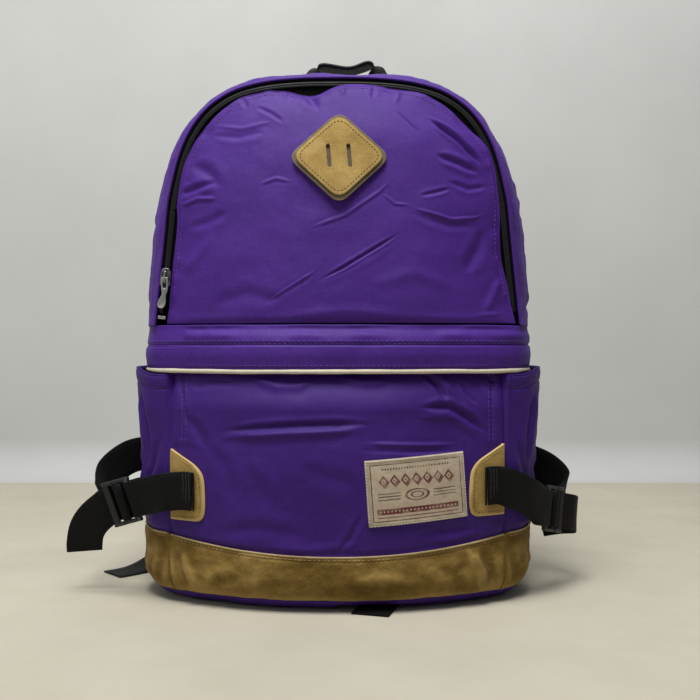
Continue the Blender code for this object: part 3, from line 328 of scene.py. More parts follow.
COIL = plastic_material("coil_black", (0.0008, 0.0008, 0.0010), (0.0030, 0.0030, 0.0035), (0.5, 0.7))
TAPE = cloth_material("tape_black", (0.0006, 0.0006, 0.0008), (0.0014, 0.0014, 0.0018), (0.004, 0.004, 0.0045), pitch=0.0008, sheen=0.0, tint=(0.8, 0.8, 0.9), spec=0.05)
CREAM = cloth_material("piping_cream", (0.30, 0.26, 0.18), (0.53, 0.48, 0.37), (0.70, 0.66, 0.55), pitch=0.0009, sheen=0.1, tint=(1, 1, 0.9))
PAD = mesh_pad_material("air_mesh_black")
LABEL = label_material()
TH_PURPLE = thread_material("thread_violet", (0.05, 0.018, 0.17), (0.17, 0.085, 0.42))
TH_TAN = thread_material("thread_tan", (0.20, 0.13, 0.05), (0.46, 0.36, 0.18))
TH_DARK = thread_material("thread_brown", (0.05, 0.03, 0.012), (0.14, 0.09, 0.04))
TH_BLACK = thread_material("thread_black", (0.012, 0.012, 0.012), (0.06, 0.06, 0.06))
TH_CREAM = thread_material("thread_cream", (0.45, 0.40, 0.30), (0.72, 0.68, 0.58))


# ---- numeric helpers ----------------------------------------------------------
def vnoise(x, y, seed=0):
    """Smooth noise from a seeded table, -1 to 1."""
    tab = np.random.RandomState(seed).rand(64, 64) * 2 - 1
    xi, yi = np.floor(x).astype(int), np.floor(y).astype(int)
    fx, fy = x - xi, y - yi
    fx, fy = fx * fx * fx * (fx * (fx * 6 - 15) + 10), fy * fy * fy * (fy * (fy * 6 - 15) + 10)
    a, b = tab[xi % 64, yi % 64], tab[(xi + 1) % 64, yi % 64]
    c, d = tab[xi % 64, (yi + 1) % 64], tab[(xi + 1) % 64, (yi + 1) % 64]
    return (a * (1 - fx) + b * fx) * (1 - fy) + (c * (1 - fx) + d * fx) * fy


def fbm(x, y, seed=0, octaves=3):
    out, amp = 0.0, 1.0
    for k in range(octaves):
        out = out + amp * vnoise(x * 2 ** k, y * 2 ** k, seed + 7 * k)
        amp *= 0.5
    return out


def spline(points, n):
    """n points evenly spaced along a Catmull-Rom curve, as rows of an array."""
    p = np.array([list(q) for q in points], float)
    ext = np.vstack([p[0] * 2 - p[1], p, p[-1] * 2 - p[-2]])
    t = (np.arange(24) / 24)[:, None]
    fine = []
    for i in range(len(p) - 1):
        a, b, c, d = ext[i:i + 4]
        fine.append(0.5 * ((2 * b) + (c - a) * t + (2 * a - 5 * b + 4 * c - d) * t * t + (3 * b - a - 3 * c + d) * t ** 3))
    fine = np.vstack(fine + [p[-1:]])
    run = np.concatenate([[0], np.cumsum(np.linalg.norm(np.diff(fine, axis=0), axis=1))])
    want = np.linspace(0, run[-1], n)
    return np.stack([np.interp(want, run, fine[:, k]) for k in range(p.shape[1])], axis=1)


def normals_of(P):
    """Unit normals of a grid of points."""
    du, dv = np.gradient(P, axis=1), np.gradient(P, axis=0)
    n = np.cross(du, dv)
    return n / np.maximum(np.linalg.norm(n, axis=2, keepdims=True), 1e-9)


def make(name, verts, faces, mat, body=None, st=None, smooth_shade=True, angle=45, extra=None, mats=None, fmat=None):
    """A mesh object from millimetre vertices."""
    mesh = bpy.data.meshes.new(name)
    v = np.asarray(verts, float) * MM
    mesh.from_pydata(v.tolist(), [], faces)
    mesh.update()
    ob = bpy.data.objects.new(name, mesh)
    scene.collection.objects.link(ob)
    for m in (mats or [mat]):
        mesh.materials.append(m)
    if fmat is not None:
        mesh.polygons.foreach_set("material_index", np.asarray(fmat, np.int32))
    if st is not None:
        a = mesh.attributes.new("st", "FLOAT_VECTOR", "POINT")
        s = np.zeros((len(v), 3), np.float32)
        s[:, :2] = np.asarray(st, float) * MM
        a.data.foreach_set("vector", s.ravel())
    for k, val in (extra or {}).items():
        a = mesh.attributes.new(k, "FLOAT", "POINT")
        a.data.foreach_set("value", np.asarray(val, np.float32))
    if smooth_shade:
        mesh.shade_smooth()
        mesh.set_sharp_from_angle(angle=math.radians(angle))
    if body:
        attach(ob, body)
    return ob


def outward(verts, faces):
    v = np.asarray(verts, float)
    vol = 0.0
    for f in faces:
        for k in range(1, len(f) - 1):
            vol += float(np.dot(v[f[0]], np.cross(v[f[k]], v[f[k + 1]])))
    return faces if vol >= 0 else [tuple(reversed(f)) for f in faces]


def grid_cloth(name, P, t, mat, body, inside=(0, 0, 200), closed=False, extra=None, rim=True):
    """Closed thin cloth on a grid of points (rows x cols), thickened towards the point inside, with
    rounded rims. st runs along the columns and rows in millimetres."""
    R, C, _ = P.shape
    N = normals_of(P)
    side = np.sign(np.sum(np.einsum("ijk,ijk->ij", N, np.array(inside)[None, None, :] - P) > 0) - R * C / 2)
    N = N * side
    du = np.linalg.norm(np.diff(P, axis=1), axis=2)
    dv = np.linalg.norm(np.diff(P, axis=0), axis=2)
    s = np.concatenate([np.zeros((R, 1)), np.cumsum(du, axis=1)], axis=1)
    s = s - s[:, C // 2:C // 2 + 1]
    tt = np.concatenate([np.zeros((1, C)), np.cumsum(dv, axis=0)], axis=0)
    outer, inner = P.reshape(-1, 3), (P + N * t).reshape(-1, 3)
    n0 = R * C
    verts = np.vstack([outer, inner])
    idx = np.arange(n0).reshape(R, C)
    a, b, c, d = idx[:-1, :-1].ravel(), idx[:-1, 1:].ravel(), idx[1:, 1:].ravel(), idx[1:, :-1].ravel()
    q = np.stack([a, b, c, d], 1)
    if side > 0:
        q = q[:, ::-1]
    faces = q.tolist() + (q[:, ::-1] + n0).tolist()
    edge = list(idx[0, :]) + list(idx[1:, -1]) + list(idx[-1, -2::-1]) + list(idx[-2:0:-1, 0])
    mid = (P + N * t * 0.5)
    cen = np.zeros_like(P)
    # rims: one bulged loop between the two skins
    loop = np.array(edge)
    out_dir = np.zeros((n0, 3))
    pin = P.reshape(-1, 3)
    inner_nb = {}
    for j in range(C):
        inner_nb[idx[0, j]] = idx[1, j]
        inner_nb[idx[-1, j]] = idx[-2, j]
    for i in range(1, R - 1):
        inner_nb[idx[i, 0]] = idx[i, 1]
        inner_nb[idx[i, -1]] = idx[i, -2]
    rimv = []
    for e in loop:
        d0 = pin[e] - pin[inner_nb[e]]
        d0 = d0 / max(1e-9, np.linalg.norm(d0))
        rimv.append(mid.reshape(-1, 3)[e] + d0 * t * (0.35 if rim else 0.0))
    base = len(verts)
    verts = np.vstack([verts, np.array(rimv)])
    L = len(loop)
    for k in range(L):
        k2 = (k + 1) % L
        e0, e1 = int(loop[k]), int(loop[k2])
        q1, q2 = (e1, e0, base + k, base + k2), (base + k2, base + k, e0 + n0, e1 + n0)
        if side > 0:
            q1, q2 = tuple(reversed(q1)), tuple(reversed(q2))
        faces += [q1, q2]
    st = np.stack([s.ravel(), tt.ravel()], 1)
    st = np.vstack([st, st, st[loop]])
    ex = None
    if extra:
        ex = {k: np.concatenate([val.ravel(), val.ravel(), val.ravel()[loop]]) for k, val in extra.items()}
    ob = make(name, verts, faces, mat, body, st, True, 60, ex)
    return ob


def stroke(X, Z, pts, w, amp, kind="v"):
    """Displacement field of a crease along a polyline, faded at both ends. v is a valley with soft
    shoulders, r a ridge, s a step that is raised on the left of its direction."""
    pts = [np.array(p, float) for p in pts]
    total = sum(np.linalg.norm(b - a) for a, b in zip(pts, pts[1:]))
    best = np.full(X.shape, 1e9)
    along = np.zeros(X.shape)
    sgn = np.zeros(X.shape)
    run = 0.0
    for a, b in zip(pts, pts[1:]):
        L = np.linalg.norm(b - a)
        d = (b - a) / L
        u = (X - a[0]) * d[0] + (Z - a[1]) * d[1]
        c = np.clip(u, 0, L)
        dx, dz = X - (a[0] + d[0] * c), Z - (a[1] + d[1] * c)
        dist = np.hypot(dx, dz)
        m = dist < best
        best = np.where(m, dist, best)
        along = np.where(m, (run + c) / total, along)
        sgn = np.where(m, np.sign(d[0] * dz - d[1] * dx), sgn)
        run += L
    fade = sstep(along / 0.28) * sstep((1 - along) / 0.28)
    ww = w * (0.55 + 0.45 * fade)
    q = best / ww
    if kind == "v":
        f = -np.exp(-q ** 2) + 0.42 * np.exp(-((q - 2.1) / 1.1) ** 2)
    elif kind == "r":
        f = np.exp(-q ** 2 * 1.0) - 0.18 * np.exp(-((q - 2.2) / 1.2) ** 2)
    else:
        f = np.where(sgn > 0, 1 - np.exp(-q), 0.0) * np.exp(-q / 7.0) * 1.8
    return amp * f * fade


def capsule_run(pts, length, gap, r, lift=None, squash=0.75):
    """Stitches: short rounded threads laid end to end along a path of 3-D points."""
    P = np.asarray(pts, float)
    seg = np.linalg.norm(np.diff(P, axis=0), axis=1)
    run = np.concatenate([[0], np.cumsum(seg)])
    n = max(1, int(run[-1] / (length + gap)))
    pitch = run[-1] / n
    verts, faces = [], []
    prof = [(-0.5, 0.0, -1.2), (-0.36, 0.75, 0.0), (0.0, 1.0, 0.6), (0.36, 0.75, 0.0), (0.5, 0.0, -1.2)]
    for k in range(n):
        s0 = (k + 0.5) * pitch
        c = np.array([np.interp(s0, run, P[:, i]) for i in range(3)])
        a = np.array([np.interp(s0 - length / 2, run, P[:, i]) for i in range(3)])
        b = np.array([np.interp(s0 + length / 2, run, P[:, i]) for i in range(3)])
        t = (b - a) / max(1e-9, np.linalg.norm(b - a))
        up = np.asarray(lift(c) if callable(lift) else lift, float)
        sd = np.cross(t, up)
        sd /= max(1e-9, np.linalg.norm(sd))
        up = np.cross(sd, t)
        base = len(verts)
        for i, (u, rr, h) in enumerate(prof):
            o = c + t * (u * (length)) + up * (h * r * 0.6)
            if rr == 0.0:
                verts.append(o)
            else:
                for m in range(5):
                    an = 2 * math.pi * m / 5
                    verts.append(o + sd * (math.cos(an) * r * rr) + up * (math.sin(an) * r * rr * squash))
        f0 = base
        r1, r2, r3, e = base + 1, base + 6, base + 11, base + 16
        for m in range(5):
            m2 = (m + 1) % 5
            faces.append((f0, r1 + m2, r1 + m))
            faces.append((r1 + m, r1 + m2, r2 + m2, r2 + m))
            faces.append((r2 + m, r2 + m2, r3 + m2, r3 + m))
            faces.append((r3 + m, r3 + m2, e))
    return verts, faces


def stitches(name, runs, mat, body, length=2.6, gap=1.0, r=0.32):
    """One object of stitches along several paths; each run is (points, lift direction or function)."""
    V_, F_ = [], []
    for pts, lift in runs:
        v, f = capsule_run(pts, length, gap, r, lift)
        n = len(V_)
        V_ += v
        F_ += [tuple(i + n for i in q) for q in f]
    ob = make(name, V_, outward(V_, F_), mat, body, None, True, 80)
    return ob


def strap(name, path, widths, w, t, mat, body, dens=3, cup=0.0, s0=0.0):
    """Webbing: a flat section with rounded edges swept along a smooth line through the path."""
    path = np.array([list(p) for p in path], float)
    wd = np.array([list(p) for p in widths], float)
    n = len(path)
    par = np.concatenate([[0], np.cumsum(np.linalg.norm(np.diff(path, axis=0), axis=1))])
    m = (n - 1) * dens + 1
    k = np.interp(np.linspace(0, n - 1, m), np.arange(n), par)
    ext = np.vstack([path[0] * 2 - path[1], path, path[-1] * 2 - path[-2]])
    P = []
    for i in range(n - 1):
        a, b, c, d = ext[i:i + 4]
        for q in range(dens):
            u = q / dens
            P.append(0.5 * ((2 * b) + (c - a) * u + (2 * a - 5 * b + 4 * c - d) * u * u + (3 * b - a - 3 * c + d) * u ** 3))
    P.append(path[-1])
    P = np.array(P)
    W = np.stack([np.interp(k, par, wd[:, j]) for j in range(3)], 1)
    wi = np.interp(k, par, w) if isinstance(w, (list, tuple, np.ndarray)) else np.full(len(P), float(w))
    h = t / 2
    sec = [(-1, 0, 0), (-1, 0.35, -0.55), (-1, 0.9, -1)] + [(x, 0, -1) for x in (-0.6, -0.3, 0, 0.3, 0.6)] + \
          [(1, -0.9, -1), (1, -0.35, -0.55), (1, 0, 0), (1, -0.35, 0.55), (1, -0.9, 1)] + \
          [(x, 0, 1) for x in (0.6, 0.3, 0, -0.3, -0.6)] + [(-1, 0.9, 1), (-1, 0.35, 0.55)]
    K = len(sec)
    verts, st = [], []
    T = np.gradient(P, axis=0)
    T /= np.linalg.norm(T, axis=1)[:, None]
    arc = np.concatenate([[0], np.cumsum(np.linalg.norm(np.diff(P, axis=0), axis=1))]) + s0
    for i in range(len(P)):
        wv = W[i] - T[i] * np.dot(W[i], T[i])
        wv /= np.linalg.norm(wv)
        nn = np.cross(T[i], wv)
        for x, dx, z in sec:
            off = x * wi[i] / 2 + dx * h
            verts.append(P[i] + wv * off + nn * (z * h + cup * ((off / (wi[i] / 2)) ** 2)))
            st.append((arc[i], off))
    faces = []
    for i in range(len(P) - 1):
        for j in range(K):
            a, b = i * K + j, i * K + (j + 1) % K
            faces.append((a, b, b + K, a + K))
    faces += [tuple(reversed(range(K))), tuple((len(P) - 1) * K + j for j in range(K))]
    ob = make(name, verts, outward(verts, faces), mat, body, st, True, 50)
    return ob


def tube(name, pts, r, mat, body, sides=12, flat=1.0):
    P = np.asarray(pts, float)
    T = np.gradient(P, axis=0)
    T /= np.linalg.norm(T, axis=1)[:, None]
    arc = np.concatenate([[0], np.cumsum(np.linalg.norm(np.diff(P, axis=0), axis=1))])
    verts, st = [], []
    for i in range(len(P)):
        up = np.array([0, 0, 1.0]) - T[i] * T[i][2]
        up /= np.linalg.norm(up)
        sd = np.cross(T[i], up)
        for k in range(sides):
            a = 2 * math.pi * k / sides
            rr = r[i] if isinstance(r, np.ndarray) else r
            verts.append(P[i] + up * math.cos(a) * rr + sd * math.sin(a) * rr * flat)
            st.append((arc[i], rr * a))
    faces = []
    for i in range(len(P) - 1):
        for k in range(sides):
            a, b = i * sides + k, i * sides + (k + 1) % sides
            faces.append((a, b, b + sides, a + sides))
    faces += [tuple(reversed(range(sides))), tuple((len(P) - 1) * sides + k for k in range(sides))]
    ob = make(name, verts, outward(verts, faces), mat, body, st, True, 60)
    return ob


def plate(name, outline, holes, place, t0, t1, mat, body, bevel=0.0, edge_mat=None, seg=2, sub=0):
    """Flat plate with holes, raised from t0 to t1 by place(u, v, h), its edges rounded."""
    bm = bmesh.new()
    edges = []
    for loop in [outline] + list(holes):
        vs = [bm.verts.new((u, v, 0)) for u, v in loop]
        for i in range(len(vs)):
            edges.append(bm.edges.new((vs[i], vs[(i + 1) % len(vs)])))
    bmesh.ops.triangle_fill(bm, use_beauty=True, use_dissolve=False, edges=edges)
    bm.verts.index_update()
    flat = [(v.co.x, v.co.y) for v in bm.verts]
    tris = []
    for f in bm.faces:
        idx = [v.index for v in f.verts]
        (ax, ay), (bx, by), (cx, cy) = [flat[i] for i in idx]
        if (bx - ax) * (cy - ay) - (by - ay) * (cx - ax) < 0:
            idx.reverse()
        tris.append(tuple(idx))
    bm.free()
    n = len(flat)
    verts = [tuple(place(u, v, t1)) for u, v in flat] + [tuple(place(u, v, t0)) for u, v in flat]
    st = [(u, v) for u, v in flat] * 2
    faces = list(tris) + [tuple(i + n for i in reversed(f)) for f in tris]
    used = {(f[k], f[(k + 1) % 3]) for f in tris for k in range(3)}
    nt = len(faces)
    for (a, b) in used:
        if (b, a) not in used:
            faces.append((b, a, a + n, b + n))
    fm = [0] * nt + [1 if edge_mat else 0] * (len(faces) - nt)
    v = np.array(verts)
    vol = 0.0
    for f in faces:
        for k in range(1, len(f) - 1):
            vol += float(np.dot(v[f[0]], np.cross(v[f[k]], v[f[k + 1]])))
    if vol < 0:
        faces = [tuple(reversed(f)) for f in faces]
    ob = make(name, verts, faces, mat, None, st, True, 40, None, [mat, edge_mat] if edge_mat else None, fm)
    if bevel:
        md = ob.modifiers.new("edge", "BEVEL")
        md.width = bevel * MM
        md.segments = seg
        md.limit_method = "ANGLE"
        md.angle_limit = math.radians(50)
        apply_mods(ob)
        ob.data.shade_smooth()
        ob.data.set_sharp_from_angle(angle=math.radians(50))
    if body:
        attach(ob, body)
    return ob


def apply_mods(ob):
    """Replace an object's mesh with its evaluated one."""
    bpy.context.view_layer.update()
    dg = bpy.context.evaluated_depsgraph_get()
    mesh = bpy.data.meshes.new_from_object(ob.evaluated_get(dg), preserve_all_data_layers=True, depsgraph=dg)
    old = ob.data
    ob.modifiers.clear()
    ob.data = mesh
    bpy.data.meshes.remove(old)


def join(name, parts, mat, body, angle=50, st_scale=True):
    """One object from several closed shells, each (verts, faces)."""
    V_, F_ = [], []
    for v, f in parts:
        n = len(V_)
        f = outward(np.asarray(v, float) - np.mean(np.asarray(v, float), axis=0), f)
        V_ += [tuple(x) for x in v]
        F_ += [tuple(i + n for i in q) for q in f]
    A = np.array(V_)
    ob = make(name, V_, F_, mat, body, A[:, [0, 2]], True, angle)
    return ob


def rounded_bar(a, b, up, hw, ht, n=10, ends=3, pw=2.6):
    """A bar with a rounded section from a to b; hw across, ht along up."""
    a, b, up = (np.asarray(x, float) for x in (a, b, up))
    d = (b - a) / np.linalg.norm(b - a)
    up = up - d * np.dot(up, d)
    up /= np.linalg.norm(up)
    sd = np.cross(d, up)
    L = np.linalg.norm(b - a)
    st_ = []
    for k in range(ends + 1):
        x = k / ends
        st_.append((min(hw, ht) * (1 - math.sqrt(max(0.0, 1 - (1 - x) ** 2))), max(0.35, math.sqrt(max(0.0, 1 - (1 - x) ** 2)))))
    stations = [(s, f) for s, f in st_] + [(L - s, f) for s, f in reversed(st_)]
    verts, faces = [], []
    for s, f in stations:
        for k in range(n):
            an = 2 * math.pi * k / n
            c, s2 = math.cos(an), math.sin(an)
            x = math.copysign(abs(c) ** (2 / pw), c) * (hw - min(hw, ht) * (1 - f))
            y = math.copysign(abs(s2) ** (2 / pw), s2) * (ht - min(hw, ht) * (1 - f))
            verts.append(a + d * s + sd * x + up * y)
    m = len(stations)
    for i in range(m - 1):
        for k in range(n):
            p, q = i * n + k, i * n + (k + 1) % n
            faces.append((p, q, q + n, p + n))
    faces += [tuple(reversed(range(n))), tuple((m - 1) * n + k for k in range(n))]
    return verts, faces


# ---- the bag's outlines (as the frame has them) --------------------------------
SEAM_Z, FLAP_Z, ZIP_Y, BACK_Y = 222.0, 187.5, -45.0, 67.0
HALF_OUT = [(162, 222), (163, 250), (162, 270), (160.5, 284), (158, 308), (154.8, 327),
            (149.8, 346), (142.8, 367), (136.2, 380), (131, 388), (123.5, 398), (114, 408),
            (105, 415.5), (95, 421.5), (83, 427), (70, 431), (55, 433.6), (35, 434.8), (0, 435)]
HALF_ZIP = [(149.5, 222.25), (147.5, 241.75), (145.5, 261.25), (143.5, 280.75), (141.5, 300.25),
            (139.5, 319.75), (134.8, 343), (129.5, 362), (122.5, 378), (114, 391), (104, 401.5), (90, 411),
            (75, 417), (55, 421.3), (30, 423.6), (0, 424.2)]
M = 577                     # fine steps round the arch


def full(half):
    return [(-x, 0, z) for x, z in half] + [(x, 0, z) for x, z in reversed(half[:-1])]


def line_normals(L):
    t = np.gradient(L, axis=0)
    t /= np.linalg.norm(t, axis=1)[:, None]
    return np.stack([-t[:, 2], 0 * t[:, 0], t[:, 0]], 1)


OUT = spline(full(HALF_OUT), M)
ZIPL = spline(full(HALF_ZIP), M)
N_OUT, N_ZIP = line_normals(OUT), line_normals(ZIPL)
BACK = OUT - N_OUT * 14.0
ARC = np.linspace(0, 1, M)


def arch_at(x, z):
    """Place along the arch (0 to 1) nearest to a point of the front view."""
    return float(ARC[int(np.argmin((ZIPL[:, 0] - x) ** 2 + (ZIPL[:, 2] - z) ** 2))])


# gusset: from the back seam, over the widest outline, to a folded lip at the zip
rows_v = np.concatenate([np.linspace(0, 0.9, 34), np.linspace(0.915, 1.0, 12)])
G = []
for v in rows_v:
    base = BACK + (ZIPL - BACK) * v
    mid = (BACK + ZIPL) / 2
    bow = 1 - abs(2 * v - 1) ** 2.2
    p = base + (OUT - mid) * bow
    p[:, 1] = lerp(BACK_Y, ZIP_Y, v)
    G.append(p)
G = np.array(G)
# the lip folds over and in at the zip
lip = []
for k, (dn, dy) in enumerate(((-0.5, -1.0), (-1.1, -1.25), (-1.8, -0.9), (-2.1, 0.0), (-2.0, 0.9))):
    p = ZIPL + N_ZIP * dn
    p[:, 1] = ZIP_Y + dy
    lip.append(p)
lip = np.array(lip)
R0 = len(rows_v)
NG = normals_of(G)
if np.sum(NG[:, :, 2] * (G[:, :, 2] - 250)) < 0:
    NG = -NG
sx = np.broadcast_to(ARC[None, :] * 1060, G.shape[:2])
vv = np.broadcast_to(rows_v[:, None], G.shape[:2])
d = 0.75 * fbm(sx / 46, vv * 2.2, 3) + 0.28 * fbm(sx / 15, vv * 5, 9)
d = d - 1.1 * np.exp(-((vv - 0.80) / 0.06) ** 2) * (0.6 + 0.4 * vnoise(sx / 30, vv * 0 + 2, 4))   # piping seam groove
d = d + 0.5 * np.exp(-((vv - 0.86) / 0.035) ** 2)
for a, v0, a2, v1, w, amp, kd in ((860, 0.2, 905, 0.75, 6, 2.0, "v"), (882, 0.3, 850, 0.8, 5, 1.1, "r"),
                                  (945, 0.15, 985, 0.7, 7, 2.2, "v"), (1010, 0.2, 1040, 0.85, 6, 1.5, "v"),
                                  (120, 0.3, 150, 0.8, 7, 1.1, "v"), (215, 0.3, 240, 0.75, 6, 1.0, "v"),
                                  (52, 0.15, 28, 0.8, 6, 1.2, "v"), (640, 0.25, 668, 0.8, 7, 1.0, "v"),
                                  (470, 0.2, 498, 0.7, 8, 1.0, "v"), (330, 0.2, 352, 0.8, 7, 0.9, "v")):
    d = d + stroke(sx, vv * 125, [(a, v0 * 125), (a2, v1 * 125)], w, amp, kd)
edge_fade = sstep(vv / 0.08) * sstep((1.0 - vv) / 0.07)
low = sstep(np.minimum(ARC, 1 - ARC)[None, :] / 0.02)
G = G + NG * (np.clip(d, -3.2, 1.6) * edge_fade * low)[:, :, None]
GL = np.vstack([G, lip + np.array([0, 0, 0])])
gusset = grid_cloth("gusset_cloth", GL, 1.1, PURPLE, "bag", (0, 0, 260))
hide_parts("gusset_left", "gusset_top", "gusset_right")
# a stitch line beside the zip, and one along the back seam
k0, k1 = 6, M - 7
r_st = R0 - 9
seam_runs = []
for rr in (R0 - 6,):
    pts = G[rr, k0:k1] + NG[rr, k0:k1] * 0.25
    seam_runs.append((pts, lambda c: (c[0], -60, c[2] - 250)))
bk = G[1, k0:k1] + NG[1, k0:k1] * 0.2
seam_runs.append((bk, lambda c: (c[0], 0, c[2] - 250)))
stitches("gusset_stitches", seam_runs, TH_PURPLE, "bag", 2.7, 1.1, 0.26)

# ---- zipped front panel ---------------------------------------------------------
PE = spline((ZIPL - N_ZIP * 11.5)[::6], 401)
PE = PE[PE[:, 2] > SEAM_Z + 1.0]
# how far the black zip shows inside the gusset's lip, round the arch
KEYS = [(-148, 224, 3.0), (-146, 245, 8.7), (-143, 285, 8.9), (-141, 306, 8.6), (-139, 318, 7.2), (-134, 342, 6.0),
        (-128, 362, 6.6), (-114, 388, 9.6), (-100, 402, 9.4), (-82, 412, 7.2), (-64, 417, 6.6), (-48, 420, 7.4),
        (-34, 421.5, 11.5), (-23, 422, 15.0), (-13, 422, 12.6), (-4, 422, 8.8), (4, 422, 5.0), (13, 421.8, 4.4),
        (26, 421.5, 5.6), (48, 419, 6.4), (70, 416, 7.0), (90, 409, 9.6), (104, 399, 11.4), (116, 386, 10.4),
        (124, 373, 5.2), (131, 353, 4.2), (136, 336, 5.2), (139, 315, 6.8), (143, 295, 9.2), (145, 281, 10.2),
        (147, 262, 7.6), (148, 244, 5.6), (149, 226, 3.4)]
key_s = np.array([arch_at(x, z) for x, z, _ in KEYS])
order = np.argsort(key_s)
key_s = key_s[order]
key_w = np.array([w for _, _, w in KEYS])[order]
width = np.interp(ARC, key_s, key_w)
width = np.convolve(np.pad(width, 6, mode="edge"), np.ones(13) / 13, mode="valid") + 0.35 * vnoise(ARC * 70, ARC * 0, 31)
left_low = (ZIPL[:, 0] < 0) & (ZIPL[:, 2] < 314)
off = 2.1 + width
off = np.where(left_low, np.maximum(off, 11.3), off)
off = np.convolve(np.pad(off, 4, mode="edge"), np.ones(9) / 9, mode="valid")
EDGE_L = ZIPL - N_ZIP * off[:, None]
EDGE_L = EDGE_L[EDGE_L[:, 2] > SEAM_Z + 0.8]
EDGE_F = spline(EDGE_L[::2], 901)
corner = 0.36
ne = len(EDGE_F)


def edge_at(s):
    f = np.clip(np.asarray(s, float), 0, 1) * (ne - 1)
    i = np.minimum(ne - 2, f.astype(int))
    return EDGE_F[i] * (1 - (f - i))[..., None] + EDGE_F[i + 1] * (f - i)[..., None]


def door_grid(nu, nt):
    """Grid over the panel, evenly spaced in both directions."""
    u = np.linspace(0, 1, nu)
    t = np.linspace(0, 1, nt)
    u = u + 0.0 * u
    U, T = np.meshgrid(u, t)
    p00, p10, p01, p11 = edge_at(0), edge_at(1), edge_at(corner), edge_at(1 - corner)
    bottom = p00 + (p10 - p00) * U[..., None]
    top = edge_at(corner + (1 - 2 * corner) * U)
    lft, rgt = edge_at(corner * T), edge_at(1 - corner * T)
    ruled = bottom * (1 - T[..., None]) + top * T[..., None] + lft * (1 - U[..., None]) + rgt * U[..., None]
    cor = (p00 * (1 - U[..., None]) + p10 * U[..., None]) * (1 - T[..., None]) + (p01 * (1 - U[..., None]) + p11 * U[..., None]) * T[..., None]
    P = ruled - cor
    P[..., 1] = ZIP_Y - 1.6 - 35.4 * (1 - np.abs(2 * U - 1) ** 2.6) * (1 - T ** 2.3)
    return P, U, T


D, U, T = door_grid(300, 260)
X, Z = D[..., 0].copy(), D[..., 2].copy()
ND = normals_of(D)
if ND[100, 100, 1] > 0:
    ND = -ND
d = 1.25 * fbm(X / 95, Z / 75, 12) + 0.35 * fbm(X / 34, Z / 30, 5) + 0.07 * fbm(X / 10, Z / 9, 8)
CREASES = [
    # long diagonal folds below the patch
    ([(-25, 296), (6, 307), (33, 326), (44, 337)], 2.3, 1.5, "r"),
    ([(-14, 256), (6, 267), (50, 294)], 1.9, 2.5, "v"),
    ([(-20, 250), (10, 262), (52, 288)], 5.0, 0.5, "r"),
    ([(-56, 239), (-13, 266)], 1.7, 1.25, "r"),
    ([(-62, 236), (-16, 261)], 4.0, -0.7, "r"),
    # upper right, fanning out from the corner of the zip
    ([(72, 387.5), (96, 370), (117, 349)], 3.2, 4.2, "v"),
    ([(66, 392), (98, 375), (120, 352)], 3.4, 1.7, "r"),
    ([(77, 357), (98, 350), (114, 343.5)], 4.4, 3.4, "v"),
    ([(44, 396.5), (66, 374.5)], 1.8, 1.4, "r"),
    ([(64, 323), (77, 326), (90, 330)], 2.6, 1.6, "v"),
    ([(34, 326), (45, 316.5), (58, 315.5)], 1.8, 1.3, "r"),
    ([(57, 314), (90, 305), (110, 307.5), (119.5, 312.5)], 2.0, 1.7, "r"),
    ([(56, 310), (88, 300), (112, 301)], 5.0, 1.2, "v"),
    ([(86, 336), (104, 330), (122, 334)], 3.5, 1.4, "v"),
    # right lower corner bulge and slack
    ([(100, 262), (112, 283), (118, 300)], 8.0, 2.2, "v"),
    ([(118, 232), (126, 248), (132, 262)], 6.0, 2.2, "r"),
    ([(108, 229), (122, 230.5), (134, 231)], 2.5, 1.1, "r"),
    # upper left
    ([(-62, 332), (-48, 337), (-35, 334)], 2.2, 1.2, "r"),
    ([(-100, 383), (-76, 379), (-50, 384)], 3.2, 1.3, "r"),
    ([(-102, 375), (-78, 372), (-56, 376)], 4.6, 1.3, "v"),
    ([(-66, 398), (-52, 390), (-42, 382)], 3.0, 1.2, "v"),
    ([(-127, 318), (-112, 323), (-94, 322)], 3.0, 2.2, "r"),
    ([(-129, 327), (-112, 332), (-96, 336)], 4.4, 2.6, "v"),
    ([(-118, 352), (-104, 344), (-92, 330)], 8.0, 2.4, "v"),
    ([(-122, 300), (-104, 303), (-84, 312)], 6.0, 1.3, "v"),
    ([(-128, 262), (-112, 276), (-96, 296)], 8.0, 1.5, "r"),
    ([(-100, 238), (-70, 246), (-40, 240)], 9.0, 1.3, "v"),
    ([(-40, 228), (10, 233), (60, 228)], 7.0, 1.2, "r"),
    ([(20, 252), (60, 262), (96, 250)], 9.0, 1.2, "r"),
    # top puckers where the zip draws the cloth in
    ([(-25, 424), (-22, 404), (-14, 392)], 6.0, 2.6, "v"),
    ([(-44, 420), (-42, 404)], 4.0, 1.3, "r"),
    ([(6, 422), (4, 404)], 4.0, 1.3, "r"),
    ([(30, 420), (28, 402)], 3.4, 1.0, "v"),
    ([(52, 418), (46, 398)], 3.6, 1.1, "r"),
    ([(-80, 410), (-72, 396)], 3.6, 1.1, "v"),
]
for pts, w, amp, kd in CREASES:
    d = d + stroke(X, Z, pts, w * 0.52, amp * 0.55, kd)
edge_d = np.minimum.reduce([U * 270, (1 - U) * 270, (1 - T) * 180])
ripple = 1.0 * vnoise(X / 17 + 3, Z / 17, 77) + 0.5 * vnoise(X / 7, Z / 7, 78)
d = d * sstep(edge_d / 9 + 0.12) + ripple * np.exp(-(edge_d / 10) ** 2) * 0.9 * sstep(T / 0.08)
d = d * sstep(T / 0.05)
D = D + ND * np.clip(d, -4.5, 3.6)[..., None]
# edge of the cloth rolls back towards the zip
roll = np.exp(-(np.minimum.reduce([U * 280, (1 - U) * 280, (1 - T) * 190]) / 2.4) ** 2)
D[..., 1] = np.minimum(D[..., 1] + 1.0 * roll, ZIP_Y - 1.35)
